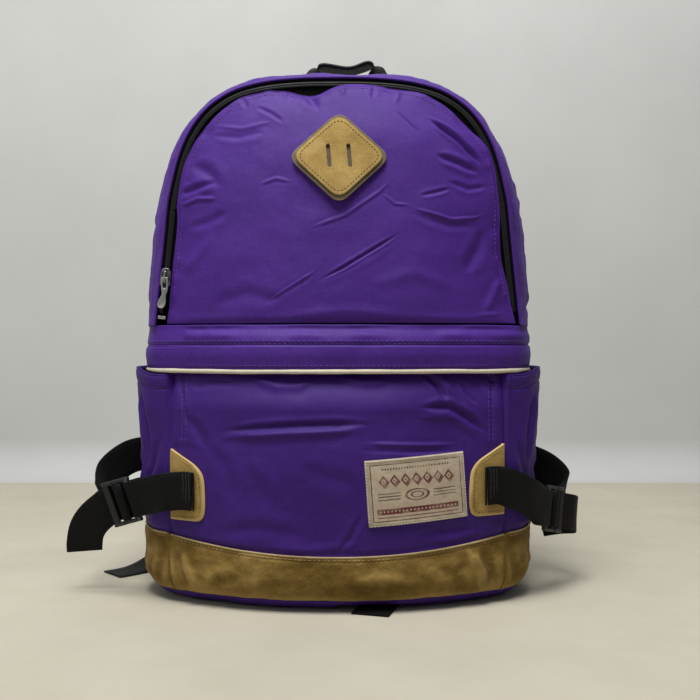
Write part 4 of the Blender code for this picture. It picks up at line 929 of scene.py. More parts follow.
# pinched bottom seam
D[..., 1] += 2.2 * np.exp(-((D[..., 2] - 223.0) / 3.5) ** 2) * (1 - np.abs(2 * U - 1) ** 6)
door = grid_cloth("front_panel_cloth", D, 0.9, PURPLE, None, (0, 0, 280))
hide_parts("front_panel")
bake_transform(door)
DX, DZ, DY = D[..., 0].ravel(), D[..., 2].ravel(), D[..., 1].ravel()


def door_front(x, z):
    """Point of the creased panel's face nearest to x and z."""
    k = int(np.argmin((DX - x) ** 2 + (DZ - z) ** 2))
    return np.array([DX[k], DY[k], DZ[k]])


rows_ = []
for c in range(6, 295):
    pass
inset_run = []
for s in np.linspace(0.035, 0.965, 420):
    e = edge_at(s)
    n = np.array([e[0], 0, e[2] - 300.0])
    q = e - n / np.linalg.norm(n) * 4.2
    p = door_front(q[0], q[2])
    inset_run.append(p + np.array([0, -0.25, 0]))
up_run = [p for p in inset_run if p[2] > 246]
stitches("front_panel_stitches", [(np.array(up_run), (0, -1, 0))], TH_PURPLE, "front_panel", 2.7, 1.1, 0.24)

# ---- plan curves of the lower body ----------------------------------------------
PLAN_SEAM = [(-148, 67), (-158, 40), (-161.5, 11), (-158.5, -18), (-146.5, -45), (-121, -60),
             (-85, -71), (-45, -79), (0, -82)]
PLAN_BAND = [(-148.5, 67), (-159, 40), (-163, 11), (-160, -19), (-147.5, -47), (-121, -63.5),
             (-85, -76), (-45, -85), (0, -88)]
SLIP_TOP = [(-149.5, 66), (-166, 42), (-172, 10), (-169, -20), (-156, -44), (-136.5, -57)]
SLIP_MID = [(-149.5, 66), (-161, 42), (-168, 10), (-165, -20), (-152, -45), (-136, -58.5)]
SLIP_LOW = [(-148.5, 66), (-158, 42), (-163.5, 10), (-161, -20), (-150, -45), (-135.5, -57.5)]
POCKET_TOP = [(-131, -51), (-110, -61), (-75, -72), (-45, -78.3), (0, -79.6)]
POCKET_HI = [(-133.5, -58), (-110, -70), (-75, -82), (-40, -90), (0, -93)]
POCKET_MID = [(-133.5, -60), (-110, -73), (-75, -86), (-40, -94), (0, -96.5)]
POCKET_LOW = [(-133.5, -58.5), (-110, -71), (-75, -84.5), (-40, -92.5), (0, -95)]
SIDE_IN = [(-146, 63), (-153, 38), (-156.5, 8), (-153.5, -18), (-143, -37), (-129, -49)]
DIVIDER = [(-126, -50), (-100, -58), (-60, -66), (0, -70)]


def plan(pts, n, mirror=True):
    p = [(x, y) for x, y in pts]
    if mirror:
        p = p + [(-x, y) for x, y in reversed(p[:-1])]
    return spline(p, n)


def plan_normals(c):
    t = np.gradient(c, axis=0)
    t /= np.linalg.norm(t, axis=1)[:, None]
    return np.stack([t[:, 1], -t[:, 0]], 1)


def rows_at(rows, Zg):
    """Interpolate plan curves for a grid of heights; rows is a list of (z, curve)."""
    rows = sorted(rows, key=lambda r: r[0])
    out = np.zeros(Zg.shape + (3,))
    for j in range(Zg.shape[1]):
        z = Zg[:, j]
        for c in (0, 1):
            val = np.full(z.shape, rows[0][1][j, c])
            for (z0, a), (z1, b) in zip(rows, rows[1:]):
                f = sstep((z - z0) / (z1 - z0))
                val = np.where(z >= z0, a[j, c] + (b[j, c] - a[j, c]) * f, val)
            out[:, j, c] = val
    out[..., 2] = Zg
    return out


# ---- storm band, flap and piping ------------------------------------------------
NBF = 433
c_seam, c_band = plan(PLAN_SEAM, NBF), plan(PLAN_BAND, NBF)
band_rows = [(187.5, c_band), (206, c_band), (222, c_seam)]
FK0, FK1 = 120, NBF - 1 - 120          # where the flap is free of the band
gap = 1


def band_surface(z_list, j0, j1):
    Zg = np.repeat(np.array(z_list, float)[:, None], j1 - j0 + 1, axis=1)
    P = rows_at([(z, c[j0:j1 + 1]) for z, c in band_rows], Zg)
    N = normals_of(P)
    if N[N.shape[0] // 2, N.shape[1] // 2, 1] > 0:
        N = -N
    s = (np.arange(j0, j1 + 1) / (NBF - 1) - 0.5)[None, :] * 560 + 0 * Zg
    low = sstep((207.5 - Zg) / 3.0)
    dd = 0.55 * fbm(s / 60, Zg / 60, 21) + 0.25 * fbm(s / 16, Zg / 18, 22)
    # the double stitched tuck, a full roll below it and slack puckers above
    dd = dd - 1.5 * np.exp(-((Zg - 206.8) / 1.25) ** 2) + 0.95 * np.exp(-((Zg - 198.5) / 6.0) ** 2)
    puck = 0.5 + 0.5 * vnoise(s / 24, 0 * s + 3, 25)
    dd = dd + 1.7 * np.exp(-((Zg - 213.5) / 3.4) ** 2) * (0.15 + 1.0 * puck)
    dd = dd - 0.9 * np.exp(-((Zg - 218.8) / 2.2) ** 2) * (0.3 + 0.7 * vnoise(s / 19, 0 * s + 9, 26) ** 2)
    dd = dd - 0.8 * np.exp(-((Zg - 188.2) / 1.1) ** 2)
    dd = dd * sstep((SEAM_Z - 0.3 - Zg) / 2.5 + 0.05)
    near = sstep((P[..., 0] + 124) / 5)
    dd = np.where(Zg > 204, dd * near + np.minimum(dd, -0.3) * (1 - near), dd)
    return P, N, s, np.clip(dd, -1.9, 2.3)


# band: the upper strip right across, with its two lower ends
z_up = np.concatenate([np.linspace(206.6, 213, 14), np.linspace(213.6, SEAM_Z - 0.3, 14)])
P, N, s, dd = band_surface(z_up, 0, NBF - 1)
BU = P + N * dd[..., None]
band = grid_cloth("storm_band_cloth", BU, 1.1, PURPLE, "bag", (0, 0, 210))
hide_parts("storm_band")
z_lo = np.linspace(FLAP_Z, 206.75, 34)
for tag, j0, j1 in (("left", 0, FK0 - gap + 1), ("right", FK1 + gap - 1, NBF - 1)):
    P, N, s, dd = band_surface(z_lo, j0, j1)
    o = grid_cloth("storm_band_end_" + tag, P + N * dd[..., None], 1.1, PURPLE, "bag", (0, 0, 200))
P, N, s, dd = band_surface(z_lo, FK0 - gap + 1, FK1 + gap - 1)
FL = P + N * dd[..., None]
flap = grid_cloth("storm_flap_cloth", FL, 1.1, PURPLE, None, (0, 0, 200))
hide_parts("storm_flap")
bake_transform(flap)
j_in = NBF // 2
run = BU[2, 8:-8] + np.array([0, 0, 0])
nb = normals_of(BU)[2, 8:-8]
nb = nb * np.sign(-nb[len(nb) // 2, 1])
run2 = BU[6, 8:-8]
stitches("storm_band_stitches", [(run + nb * 0.2, lambda c: (c[0] * 0.4, -90, 0)), (run2 + nb * 0.2, lambda c: (c[0] * 0.4, -90, 0))],
         TH_PURPLE, "bag", 2.8, 1.2, 0.26)
rf = FL[5]
nf_ = normals_of(FL)[5]
nf_ = nf_ * np.sign(-nf_[len(nf_) // 2, 1])
fs = stitches("storm_flap_stitches", [(rf + nf_ * 0.15, lambda c: (c[0] * 0.4, -90, 0))], TH_PURPLE, None, 2.8, 1.2, 0.22)
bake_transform(fs)

pipe_c = np.stack([c_band[:, 0] * 0.9955, c_band[:, 1] * 0.991, np.full(NBF, 185.7)], 1)
sag = 0.32 * vnoise(np.arange(NBF) / 26.0, np.zeros(NBF), 41)
pipe_c[:, 2] += sag
for tag, j0, j1, body in (("band_piping_cord_left", 12, FK0 - gap + 1, "bag"), ("flap_piping_cord", FK0 - gap + 1, FK1 + gap - 1, "storm_flap"),
                          ("band_piping_cord_right", FK1 + gap - 1, NBF - 13, "bag")):
    r = 1.75 + 0.10 * vnoise(np.arange(j0, j1 + 1) / 9.0, np.zeros(j1 - j0 + 1), 43)
    o = tube(tag, pipe_c[j0:j1 + 1], r, CREAM, body, 14)
    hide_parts({"band_piping_cord_left": "band_piping_left", "flap_piping_cord": "flap_piping",
                    "band_piping_cord_right": "band_piping_right"}[tag])


# ---- front pocket ---------------------------------------------------------------
def trim_top(x):
    return 44 + 11 * (x / 133.5) ** 2


NPF = 301
prow = [(46, plan(POCKET_LOW, NPF)), (105, plan(POCKET_MID, NPF)), (155, plan(POCKET_HI, NPF)), (190, plan(POCKET_TOP, NPF))]
xr = prow[0][1][:, 0]
f = np.linspace(0, 1, 190)[:, None]
Zg = (trim_top(xr)[None, :] - 1.2) * (1 - f) + 191.5 * f
PK = rows_at(prow, Zg)
NPK = normals_of(PK)
if NPK[90, 150, 1] > 0:
    NPK = -NPK
X, Z = PK[..., 0].copy(), PK[..., 2].copy()
d = 1.15 * fbm(X / 80, Z / 60, 51) + 0.32 * fbm(X / 30, Z / 26, 52) + 0.07 * fbm(X / 9, Z / 8, 53)
for pts, w, amp, kd in [
    # the long level fold across the middle, full below it
    ([(-96, 134), (-40, 138), (10, 140.5), (24, 140)], 5.0, 2.6, "r"),
    ([(-92, 139.5), (-36, 144), (14, 146), (30, 145)], 3.6, 2.7, "v"),
    # wavy slack under the flap
    ([(-70, 181), (-46, 174), (-30, 174), (-16, 180)], 5.0, 2.0, "r"),
    ([(2, 181), (22, 177), (42, 179)], 4.5, 1.6, "r"),
    ([(-118, 172), (-96, 178), (-78, 177)], 5.0, 1.4, "v"),
    # fans on the right
    ([(66, 187), (77, 176), (87, 161.5)], 3.6, 3.1, "v"),
    ([(74, 188), (86, 176), (96, 162)], 3.2, 1.5, "r"),
    ([(62, 158), (88, 158), (104, 149), (118, 136)], 3.8, 3.5, "v"),
    ([(60, 151), (90, 150), (112, 132)], 4.0, 1.3, "r"),
    ([(96, 180), (104, 166), (112, 158)], 2.6, 1.5, "v"),
    ([(118, 184), (126, 175)], 3.0, 1.8, "v"),
    ([(112, 182), (124, 160)], 3.4, 1.2, "r"),
    ([(16, 131.5), (60, 129.5), (98, 129)], 2.2, 1.5, "r"),
    ([(14, 126.5), (58, 124.5), (98, 124)], 3.0, 1.0, "v"),
    ([(101, 132), (104, 110), (108, 96)], 3.6, 1.6, "v"),
    ([(0, 48), (10, 58), (20, 78)], 3.4, 1.3, "v"),
    ([(60, 60), (84, 62), (110, 64)], 4.2, 1.7, "v"),
    ([(70, 54), (96, 56), (118, 62)], 3.4, 1.1, "r"),
    # left half
    ([(-118, 152), (-106, 134), (-100, 118)], 6.5, 1.8, "v"),
    ([(-96, 128), (-84, 104), (-80, 82)], 8.0, 1.9, "v"),
    ([(-70, 122), (-52, 104), (-40, 84)], 9.0, 1.3, "r"),
    ([(-96, 60), (-60, 66), (-20, 60)], 7.0, 1.3, "v"),
    ([(-60, 52), (-20, 50), (20, 55)], 5.0, 1.1, "r"),
    ([(-124, 178), (-121, 160), (-117, 140)], 2.2, 1.6, "v"),
    ([(-30, 114), (0, 104), (18, 96)], 8.0, 1.0, "v")]:
    d = d + stroke(X, Z, pts, w * 0.62, amp * 0.66, kd)
side_d = 133.5 - np.abs(X)
d = d * sstep(side_d / 8 + 0.05) * sstep((Z - trim_top(X)) / 5) * sstep((191.5 - Z) / 6 + 0.15)
d = d - 1.2 * np.exp(-(side_d / 2.0) ** 2) + 0.5 * np.exp(-((side_d - 6) / 2.6) ** 2)
d = d - 0.9 * np.exp(-((side_d - 10.6) / 0.8) ** 2) * sstep((Z - 128) / 8)
lab = sstep((41 - np.abs(X - 61)) / 4) * sstep((29 - np.abs(Z - 95.5)) / 4)
tab = sstep((np.abs(X) - 99) / 4) * sstep((Z - 64) / 4) * sstep((130 - Z) / 6)
d = np.clip(d, -4.2, 3.2)
d = d * (1 - 0.85 * lab) * (1 - 0.8 * tab)
d = d - 1.3 * (1 - sstep((Z - trim_top(X) - 1.0) / 5))
PK = PK + NPK * d[..., None]
# eased back behind the flap, so that the flap hangs clear of it
PK[..., 1] += 1.2 * sstep((Z - 178) / 6) * (1 - (np.abs(X) / 140) ** 6)
# painted shade: the pocket takes the darker copy of the purple nylon
pocket = grid_cloth("front_pocket_cloth", PK, 1.0, PURPLE_SHADED, "bag", (0, 0, 110))
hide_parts("pocket_front")

# a table of the pocket's face, so that things sewn on it follow its creases
TX = np.arange(-134.0, 134.5, 0.75)
TZ = np.arange(40.0, 192.0, 0.75)
tab_y = np.zeros((len(TZ), len(TX)))
colz = PK[..., 2]
tmp = np.zeros((len(TZ), NPF))
tmpx = np.zeros((len(TZ), NPF))
for j in range(NPF):
    o_ = np.argsort(colz[:, j])
    tmp[:, j] = np.interp(TZ, colz[o_, j], PK[o_, j, 1])
    tmpx[:, j] = np.interp(TZ, colz[o_, j], PK[o_, j, 0])
for i in range(len(TZ)):
    o_ = np.argsort(tmpx[i])
    tab_y[i] = np.interp(TX, tmpx[i][o_], tmp[i][o_])


def front_y(x, z):
    x, z = np.asarray(x, float), np.asarray(z, float)
    fx = np.clip((x - TX[0]) / 0.75, 0, len(TX) - 1.001)
    fz = np.clip((z - TZ[0]) / 0.75, 0, len(TZ) - 1.001)
    i, j = fz.astype(int), fx.astype(int)
    a, b = fz - i, fx - j
    return (tab_y[i, j] * (1 - a) + tab_y[i + 1, j] * a) * (1 - b) + (tab_y[i, j + 1] * (1 - a) + tab_y[i + 1, j + 1] * a) * b


def on_front(x, z, h):
    """Points h in front of the pocket's face."""
    x, z = np.asarray(x, float), np.asarray(z, float)
    y = front_y(x, z)
    gx = (front_y(x + 3, z) - front_y(x - 3, z)) / 6
    n = np.stack([gx, -np.ones_like(gx), 0 * gx], -1)
    n /= np.linalg.norm(n, axis=-1, keepdims=True)
    return np.stack([x, y, z], -1) + n * np.asarray(h)[..., None]


zz = np.linspace(130, 180, 120)
runs = []
for sxn in (-1, 1):
    for dx in (122.8, 119.6):
        p = on_front(np.full(120, dx * sxn), zz, np.full(120, 0.15))
        runs.append((p, (0.3 * sxn, -1, 0)))
stitches("front_pocket_stitches", runs, TH_PURPLE, "bag", 2.6, 1.1, 0.22)

# ---- side slip pockets ------------------------------------------------------------
NSF = 121


def side_trim_top(y):
    return 55.5 + (60.0 - 55.5) * (58 + y) / 124


SIDE_EDGE, BASE_EDGE = {}, {}
for side, sg in (("left", 1), ("right", -1)):
    rs = [(58, plan(SLIP_LOW, NSF, False)), (110, plan(SLIP_MID, NSF, False)), (188, plan(SLIP_TOP, NSF, False))]
    jj = np.arange(NSF) / (NSF - 1) * 14
    hem = 182.6 + 5.2 * sstep(np.minimum(jj, 14 - jj) / 3 - 0.4)
    lowz = side_trim_top(rs[0][1][:, 1]) - 1.0
    f = np.concatenate([np.linspace(0, 0.86, 84), np.linspace(0.866, 1.0, 34)])[:, None]
    Zg = lowz[None, :] * (1 - f) + hem[None, :] * f
    P = rows_at(rs, Zg)
    N = normals_of(P)
    if N[50, NSF // 2, 0] > 0:
        N = -N
    s = (jj / 14 * 150)[None, :] + 0 * Zg
    hemd = hem[None, :] - Zg
    d = 1.0 * fbm(s / 50, Zg / 60, 61 + sg) + 0.4 * fbm(s / 20, Zg / 22, 63 + sg)
    for a, w, amp, kd in (([(20, 175), (40, 150), (52, 120)], 5, 1.9, "v"), ([(96, 178), (86, 150), (92, 122)], 5, 1.7, "v"),
                          ([(60, 110), (80, 100), (110, 108)], 5, 1.5, "v"), ([(112, 172), (120, 140), (126, 104)], 4, 2.2, "v"),
                          ([(30, 90), (60, 84), (90, 74)], 5, 1.2, "r"), ([(120, 90), (132, 110), (140, 134)], 3.4, 1.5, "v"),
                          ([(104, 168), (110, 148), (118, 118)], 5, 1.3, "r"), ([(70, 165), (66, 140), (72, 116)], 6, 1.1, "v")):
        d = d + stroke(s, Zg, a, w, amp, kd)
    d = np.clip(d, -3.0, 2.2) * sstep(np.minimum(s, 150 - s) / 9) * sstep(f / 0.05) * (0.35 + 0.65 * sstep(hemd / 14))
    d = d + 0.55 * (np.exp(-((hemd - 5) / 4.2) ** 2)) - 0.75 * np.exp(-((hemd - 11.5) / 0.9) ** 2) - 0.45 * np.exp(-((hemd - 1.6) / 0.6) ** 2)
    d = d - 1.3 * (1 - sstep((Zg - lowz[None, :] - 1.6) / 5))
    P = P + N * d[..., None]
    P[..., 0] *= sg
    SIDE_EDGE[side] = P[:, -1].copy()
    # painted shade: the side pockets take the darker copy of the purple nylon
    o = grid_cloth("side_pocket_cloth_" + side, P, 1.3, PURPLE_SHADED, "bag", (0, 0, 120))
    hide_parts("side_pocket_" + side)
    r_ = int(np.argmin(np.abs(hemd[:, NSF // 2] - 11.0)))
    r2_ = int(np.argmin(np.abs(hemd[:, NSF // 2] - 2.2)))
    NN = N.copy()
    NN[..., 0] *= sg
    stitches("side_pocket_stitches_" + side,
             [(P[r_, 4:-4] + NN[r_, 4:-4] * 0.2, (-sg, -0.3, 0)), (P[r2_, 4:-4] + NN[r2_, 4:-4] * 0.2, (-sg, -0.3, 0))],
             TH_PURPLE, "bag", 2.6, 1.1, 0.24)

# ---- inner walls ------------------------------------------------------------------
for side, sg in (("left", 1), ("right", -1)):
    c = plan(SIDE_IN, 61, False)
    nn = plan_normals(c)
    zs = np.linspace(13, 221.2, 80)
    dep = np.interp(zs, [13, 24, 40, 230], [4.5, 1.2, 0, 0])
    P = np.zeros((80, 61, 3))
    P[..., 0] = c[None, :, 0] - nn[None, :, 0] * dep[:, None]
    P[..., 1] = c[None, :, 1] - nn[None, :, 1] * dep[:, None]
    P[..., 2] = zs[:, None]
    d = 0.6 * fbm(np.arange(61)[None, :] / 14 + 0 * P[..., 2], P[..., 2] / 40, 71 + sg)
    d = np.clip(d, -0.7, 0.7) * sstep(np.minimum(np.arange(61), 60 - np.arange(61))[None, :] / 6)
    P[..., 0] += -nn[None, :, 0] * np.abs(d)
    P[..., 1] += -nn[None, :, 1] * np.abs(d)
    P[..., 0] *= sg
    o = grid_cloth("side_lining_" + side, P, 1.0, LINING, "bag", (0, 0, 110))
    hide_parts("side_wall_" + side)
c = plan(DIVIDER, 101)
zs = np.linspace(13, 221.2, 90)
P = np.zeros((90, 101, 3))
P[..., 0], P[..., 1], P[..., 2] = c[None, :, 0], c[None, :, 1], zs[:, None]
d = 0.9 * fbm(P[..., 0] / 60, P[..., 2] / 50, 81) + 0.3 * fbm(P[..., 0] / 18, P[..., 2] / 20, 82)
P[..., 1] += np.abs(np.clip(d, -1.2, 1.2)) * sstep((126 - np.abs(P[..., 0])) / 10)
o = grid_cloth("divider_lining", P, 1.0, LINING, "bag", (0, 0, 110))
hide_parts("divider_panel")


# ---- leather base -----------------------------------------------------------------
def curl(z):
    z = np.minimum(z, 28.0)
    return 28 - np.sqrt(np.maximum(0, 784 - (28 - z) ** 2))


def base_piece(name, node, c, top, sg, strokes, seed):
    nr = plan_normals(c)
    n = len(c)
    tops = top(c)
    f = np.linspace(0, 1, 84)[:, None]
    low = 9.0 + 0 * tops
    wave = 0.5 * vnoise(np.arange(n) / 17.0, np.zeros(n), seed) + 0.2 * vnoise(np.arange(n) / 7.0, np.zeros(n), seed + 1)
    Zg = (low + np.clip(wave + 0.9, 0, 2.6))[None, :] * (1 - f) + tops[None, :] * f
    P = np.zeros(Zg.shape + (3,))
    cu = curl(Zg)
    P[..., 0] = c[None, :, 0] - nr[None, :, 0] * cu
    P[..., 1] = c[None, :, 1] - nr[None, :, 1] * cu
    P[..., 2] = Zg
    N = normals_of(P)
    cen = np.array([0, 0, 60.0])
    if np.sum(np.einsum("ijk,ijk->ij", N, P - cen)) < 0:
        N = -N
    arc = np.concatenate([[0], np.cumsum(np.linalg.norm(np.diff(c, axis=0), axis=1))])
    S = arc[None, :] + 0 * Zg
    d = 0.9 * fbm(S / 44, Zg / 26, seed + 2) + 0.4 * fbm(S / 14, Zg / 11, seed + 3) + 0.10 * fbm(S / 4, Zg / 4, seed + 4)
    for a, w, amp, kd in strokes:
        d = d + stroke(S, Zg, a, w, amp, kd)
    endf = sstep(np.minimum(S, arc[-1] - S) / 5 + 0.15)
    d = np.clip(d, -3.0, 2.2) * endf * sstep(f / 0.26 + 0.05) * sstep((1 - f) / 0.08)
    d = d - 0.45 * np.exp(-((tops[None, :] - Zg - 3.4) / 0.8) ** 2)
    P = P + N * d[..., None]
    P[..., 2] = np.maximum(P[..., 2], 7.2)
    wear = np.clip(np.exp(-((f * 50 - 0) / 5.0) ** 2) * 0.6 + 0.9 * np.exp(-((tops[None, :] - Zg) / 1.0) ** 2)
                   + 0.5 * sstep(0.8 * vnoise(S / 25, Zg / 14, seed + 5) + 0.2) + np.clip(d, 0, 2) * 0.3, 0, 1)
    P[..., 0] *= sg
    N[..., 0] *= sg
    BASE_EDGE[name] = (P[:, 0].copy(), P[:, -1].copy())
    o = grid_cloth(name, P, 1.6, LEATHER, "bag", (0, 0, 60), extra={"wear": wear + 0 * S})
    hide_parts(node)
    return P, N


bf = plan(POCKET_LOW, 361)
arcL = float(np.sum(np.linalg.norm(np.diff(bf, axis=0), axis=1)))
P, N = base_piece("base_leather_front", "base_trim_front", bf, lambda c: trim_top(c[:, 0]) + 0.3, 1,
                  [([(18, 8), (9, 26), (4, 46)], 3.4, 2.4, "v"), ([(28, 10), (18, 30), (12, 48)], 3.4, 1.7, "r"),
                   ([(34, 12), (48, 22), (66, 26)], 4.0, 1.7, "v"), ([(70, 14), (96, 22), (126, 22)], 5, 1.3, "v"),
                   ([(arcL - 18, 8), (arcL - 24, 26), (arcL - 36, 48)], 3.6, 2.6, "r"),
                   ([(arcL - 10, 10), (arcL - 14, 28), (arcL - 24, 50)], 4.0, 2.2, "v"),
                   ([(arcL - 34, 12), (arcL - 46, 26), (arcL - 60, 34)], 4.4, 1.5, "v"),
                   ([(arcL - 70, 22), (arcL - 100, 28), (arcL - 130, 26)], 5, 1.2, "r"),
                   ([(150, 12), (170, 20), (196, 16)], 5, 1.3, "v")], 90)
e_ = P[-1]
stitches("base_front_stitches", [(P[-6, 3:-3] + N[-6, 3:-3] * 0.1, (0, -1, 0))], TH_TAN, "bag", 2.6, 1.1, 0.26)
# the thin pale turned edge along the top of the leather
edge = P[-1].copy()
ed = tube("base_front_edge", edge[2:-2] + N[-1, 2:-2] * -0.1, 0.78, EDGE, "bag", 8)
bs = plan(SLIP_LOW, 141, False)
for side, sg in (("left", 1), ("right", -1)):
    P, N = base_piece("base_leather_" + side, "base_trim_" + side, bs, lambda c: side_trim_top(c[:, 1]) + 0.3, sg,
                      [([(120, 10), (128, 30), (132, 52)], 3.4, 2.0, "v"), ([(60, 12), (70, 30), (90, 40)], 4.5, 1.5, "v"),
                       ([(20, 14), (30, 30), (40, 46)], 4.0, 1.3, "r"), ([(96, 16), (108, 30), (112, 50)], 3.6, 1.4, "r")], 110 + sg)
    stitches("base_%s_stitches" % side, [(P[-6, 3:-3] + N[-6, 3:-3] * 0.1, (-sg, 0, 0))], TH_TAN, "bag", 2.6, 1.1, 0.26)
    tube("base_%s_edge" % side, P[-1, 2:-2] + N[-1, 2:-2] * -0.1, 0.78, EDGE, "bag", 8)



# ---- the seams that close the corners between front and side pieces ----------------
def corner_strip(name, a, b, z0, z1, mat, bulge):
    """Narrow strip of cloth between two upright edges, a and b, from height z0 to z1."""
    zs = np.linspace(z0, z1, 70)
    ea = np.stack([np.interp(zs, a[:, 2], a[:, k]) for k in (0, 1)] + [zs], 1)
    eb = np.stack([np.interp(zs, b[:, 2], b[:, k]) for k in (0, 1)] + [zs], 1)
    out_ = np.stack([np.sign(ea[:, 0]) * 0.75, np.full(70, -0.66), np.zeros(70)], 1)
    rows = []
    for f in np.linspace(-0.25, 1.25, 9):
        inside_ = 0.9 * (1 if (f < 0 or f > 1) else 0)
        rows.append(ea + (eb - ea) * f + out_ * (bulge * math.sin(math.pi * min(1, max(0, f))) - inside_))
    P_ = np.array(rows).transpose(1, 0, 2)
    return grid_cloth(name, P_, 0.8, mat, "bag", (0, 0, 100), rim=False)


for side, col in (("left", 0), ("right", -1)):
    o_ = np.argsort(PK[:, col, 2])
    # painted shade: the pocket corner seams take the darker copy of the purple nylon
    corner_strip("pocket_corner_seam_" + side, PK[o_, col], SIDE_EDGE[side], 55.5, 183.0, PURPLE_SHADED, -0.35)
    fe = BASE_EDGE["base_leather_front"][0 if side == "left" else 1]
    se = BASE_EDGE["base_leather_" + side][1]
    corner_strip("base_corner_seam_" + side, fe, se, 9.0, 55.4, LEATHER, 0.35)

# ---- bottom panel -----------------------------------------------------------------
SA, SB = np.array([75.0, 75.0]), np.array([24.0, -98.0])


def channel(x, y):
    dd = (SB - SA) / np.linalg.norm(SB - SA)
    off = np.abs((x - SA[0]) * dd[1] - (y - SA[1]) * dd[0])
    return 3.4 * (1 - sstep((off - 23) / 10))


lf, fr = plan(SLIP_LOW, 61, False), plan(POCKET_LOW, 181)
loop = np.vstack([lf, fr[1:-1], lf[::-1] * np.array([-1, 1])])
nrm = plan_normals(loop)
nf = len(loop)
back = np.array([(lerp(145, -145, k / 48), 66.0) for k in range(1, 48)])
loop = np.vstack([loop, back])
nrm = np.vstack([nrm, np.tile([0.0, 1.0], (len(back), 1))])
nrm[0], nrm[nf - 1] = (-0.75, 0.66), (0.75, 0.66)
ki = np.arange(len(loop))
near = np.where(ki >= nf, 1.0, sstep(1 - np.minimum(ki, nf - 1 - ki) / 24.0))
RINGS = [(8.1, -0.6, 9.4), (9.1, -1.2, 7.6), (11.0, -0.4, 6.1), (13.2, 0.6, 4.6), (16, 2.4, 2.7), (19.5, 4.5, 1.3), (23, 7, 0.4), (28, 10, 0.0)]
rings = []
for a, b, z in RINGS:
    ins = a + (b - a) * near
    q = loop - nrm * ins[:, None]
    w = 0.7 * vnoise(ki / 11.0, ki * 0.0, 121) * (1 if 1 < z < 9 else 0)
    rings.append(np.column_stack([q, z + (channel(q[:, 0], q[:, 1]) if z < 4 else 0) + np.maximum(w, -z * 0.3)]))
last = rings[-1]
mid = np.array([0, -6.0])
for s_ in (0.94, 0.88, 0.8, 0.7, 0.6, 0.5, 0.4, 0.3, 0.2, 0.1, 0.02):
    q = mid + (last[:, :2] - mid) * s_
    w = 0.5 * (0.5 + 0.5 * vnoise(q[:, 0] / 24, q[:, 1] / 24, 123))
    rings.append(np.column_stack([q, channel(q[:, 0], q[:, 1]) + w]))
BP = np.array(rings)
BP = np.concatenate([BP, BP[:, :1]], axis=1)
BP[..., 2] = np.maximum(BP[..., 2], 1.25)
# painted shade: the bottom takes the darker copy of the purple nylon
o = grid_cloth("bottom_cloth", BP, 1.2, PURPLE_SHADED, "bag", (0, 0, 300))
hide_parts("bottom_panel")

# ---- back panel and back pad ------------------------------------------------------
ib = np.linspace(0, M - 1, 161).astype(int)
bl = BACK[ib]
ring = [(-143, 22), (-147.5, 40), (-147.5, 110), (-147.5, 180)]
o_l = [(-130, 12.5), (-143, 22), (-147.5, 40), (-147.5, 110), (-147.5, 180)] + [(p[0], p[2]) for p in bl] + \
      [(147.5, 180), (147.5, 110), (147.5, 40), (143, 22), (130, 12.5)]


def filled_sheet(name, outline, y_of, t, mat, slotname, step=5.0, seed=0):
    """Upright panel in the x-z plane: a grid cut to an outline, its depth from y_of(x, z, edge distance)."""
    o = np.array(outline, float)
    zs = np.unique(np.concatenate([np.arange(o[:, 1].min() + 0.4, o[:, 1].max() - 0.6, step), [o[:, 1].max() - 0.4]]))
    rows = []
    C = 70
    for z in zs:
        xs = []
        for a, b in zip(o, np.roll(o, -1, axis=0)):
            if (a[1] - z) * (b[1] - z) < 0:
                xs.append(a[0] + (b[0] - a[0]) * (z - a[1]) / (b[1] - a[1]))
        x0, x1 = min(xs), max(xs)
        rows.append(np.stack([np.linspace(x0, x1, C), np.zeros(C), np.full(C, z)], 1))
    P = np.array(rows)
    e = np.minimum(np.minimum(P[..., 0] - P[:, :1, 0], P[:, -1:, 0] - P[..., 0]), np.minimum(P[..., 2] - zs[0], zs[-1] - P[..., 2]))
    P[..., 1] = y_of(P[..., 0], P[..., 2], e)
    return P


BPz = filled_sheet("x", o_l, lambda x, z, e: BACK_Y + 1.9 + 0.5 * np.clip(fbm(x / 60, z / 60, 131), -1, 1) * sstep(e / 20), 1.2, PURPLE, "purple_nylon")
o = grid_cloth("back_cloth", BPz, 1.2, PURPLE, "bag", (0, 0, 200))
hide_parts("back_panel")


def cloth_pad(ob, voxel, pressure, cap, frames=20):
    """Swell a padded piece with a short cloth simulation and keep the result as its mesh."""
    rest = None
    md = ob.modifiers.new("vox", "REMESH")
    md.mode = "VOXEL"
    md.voxel_size = voxel * MM
    apply_mods(ob)
    n = len(ob.data.vertices)
    rest = np.zeros(n * 3)
    ob.data.vertices.foreach_get("co", rest)
    md = ob.modifiers.new("Cloth", "CLOTH")
    st_ = md.settings
    st_.quality = 6
    st_.mass = 0.25
    st_.use_pressure = True
    st_.uniform_pressure_force = pressure
    st_.effector_weights.gravity = 0
    st_.tension_stiffness = 24
    st_.compression_stiffness = 12
    st_.bending_stiffness = 1.2
    md.point_cache.frame_start = 1
    md.point_cache.frame_end = frames
    for fr_ in range(1, frames + 1):
        scene.frame_set(fr_)
    apply_mods(ob)
    scene.frame_set(1)
    co = np.zeros(n * 3)
    ob.data.vertices.foreach_get("co", co)
    mv = (co - rest).reshape(-1, 3)
    L = np.linalg.norm(mv, axis=1)
    k = np.minimum(1.0, cap * MM / np.maximum(L, 1e-9))
    co = rest.reshape(-1, 3) + mv * k[:, None]
    ob.data.vertices.foreach_set("co", co.ravel())
    for _ in range(2):
        md = ob.modifiers.new("soft", "SMOOTH")
        md.factor = 0.5
        md.iterations = 3
        apply_mods(ob)
    md = ob.modifiers.new("sub", "SUBSURF")
    md.levels = md.render_levels = 1
    apply_mods(ob)
    ob.data.shade_smooth()
    return ob


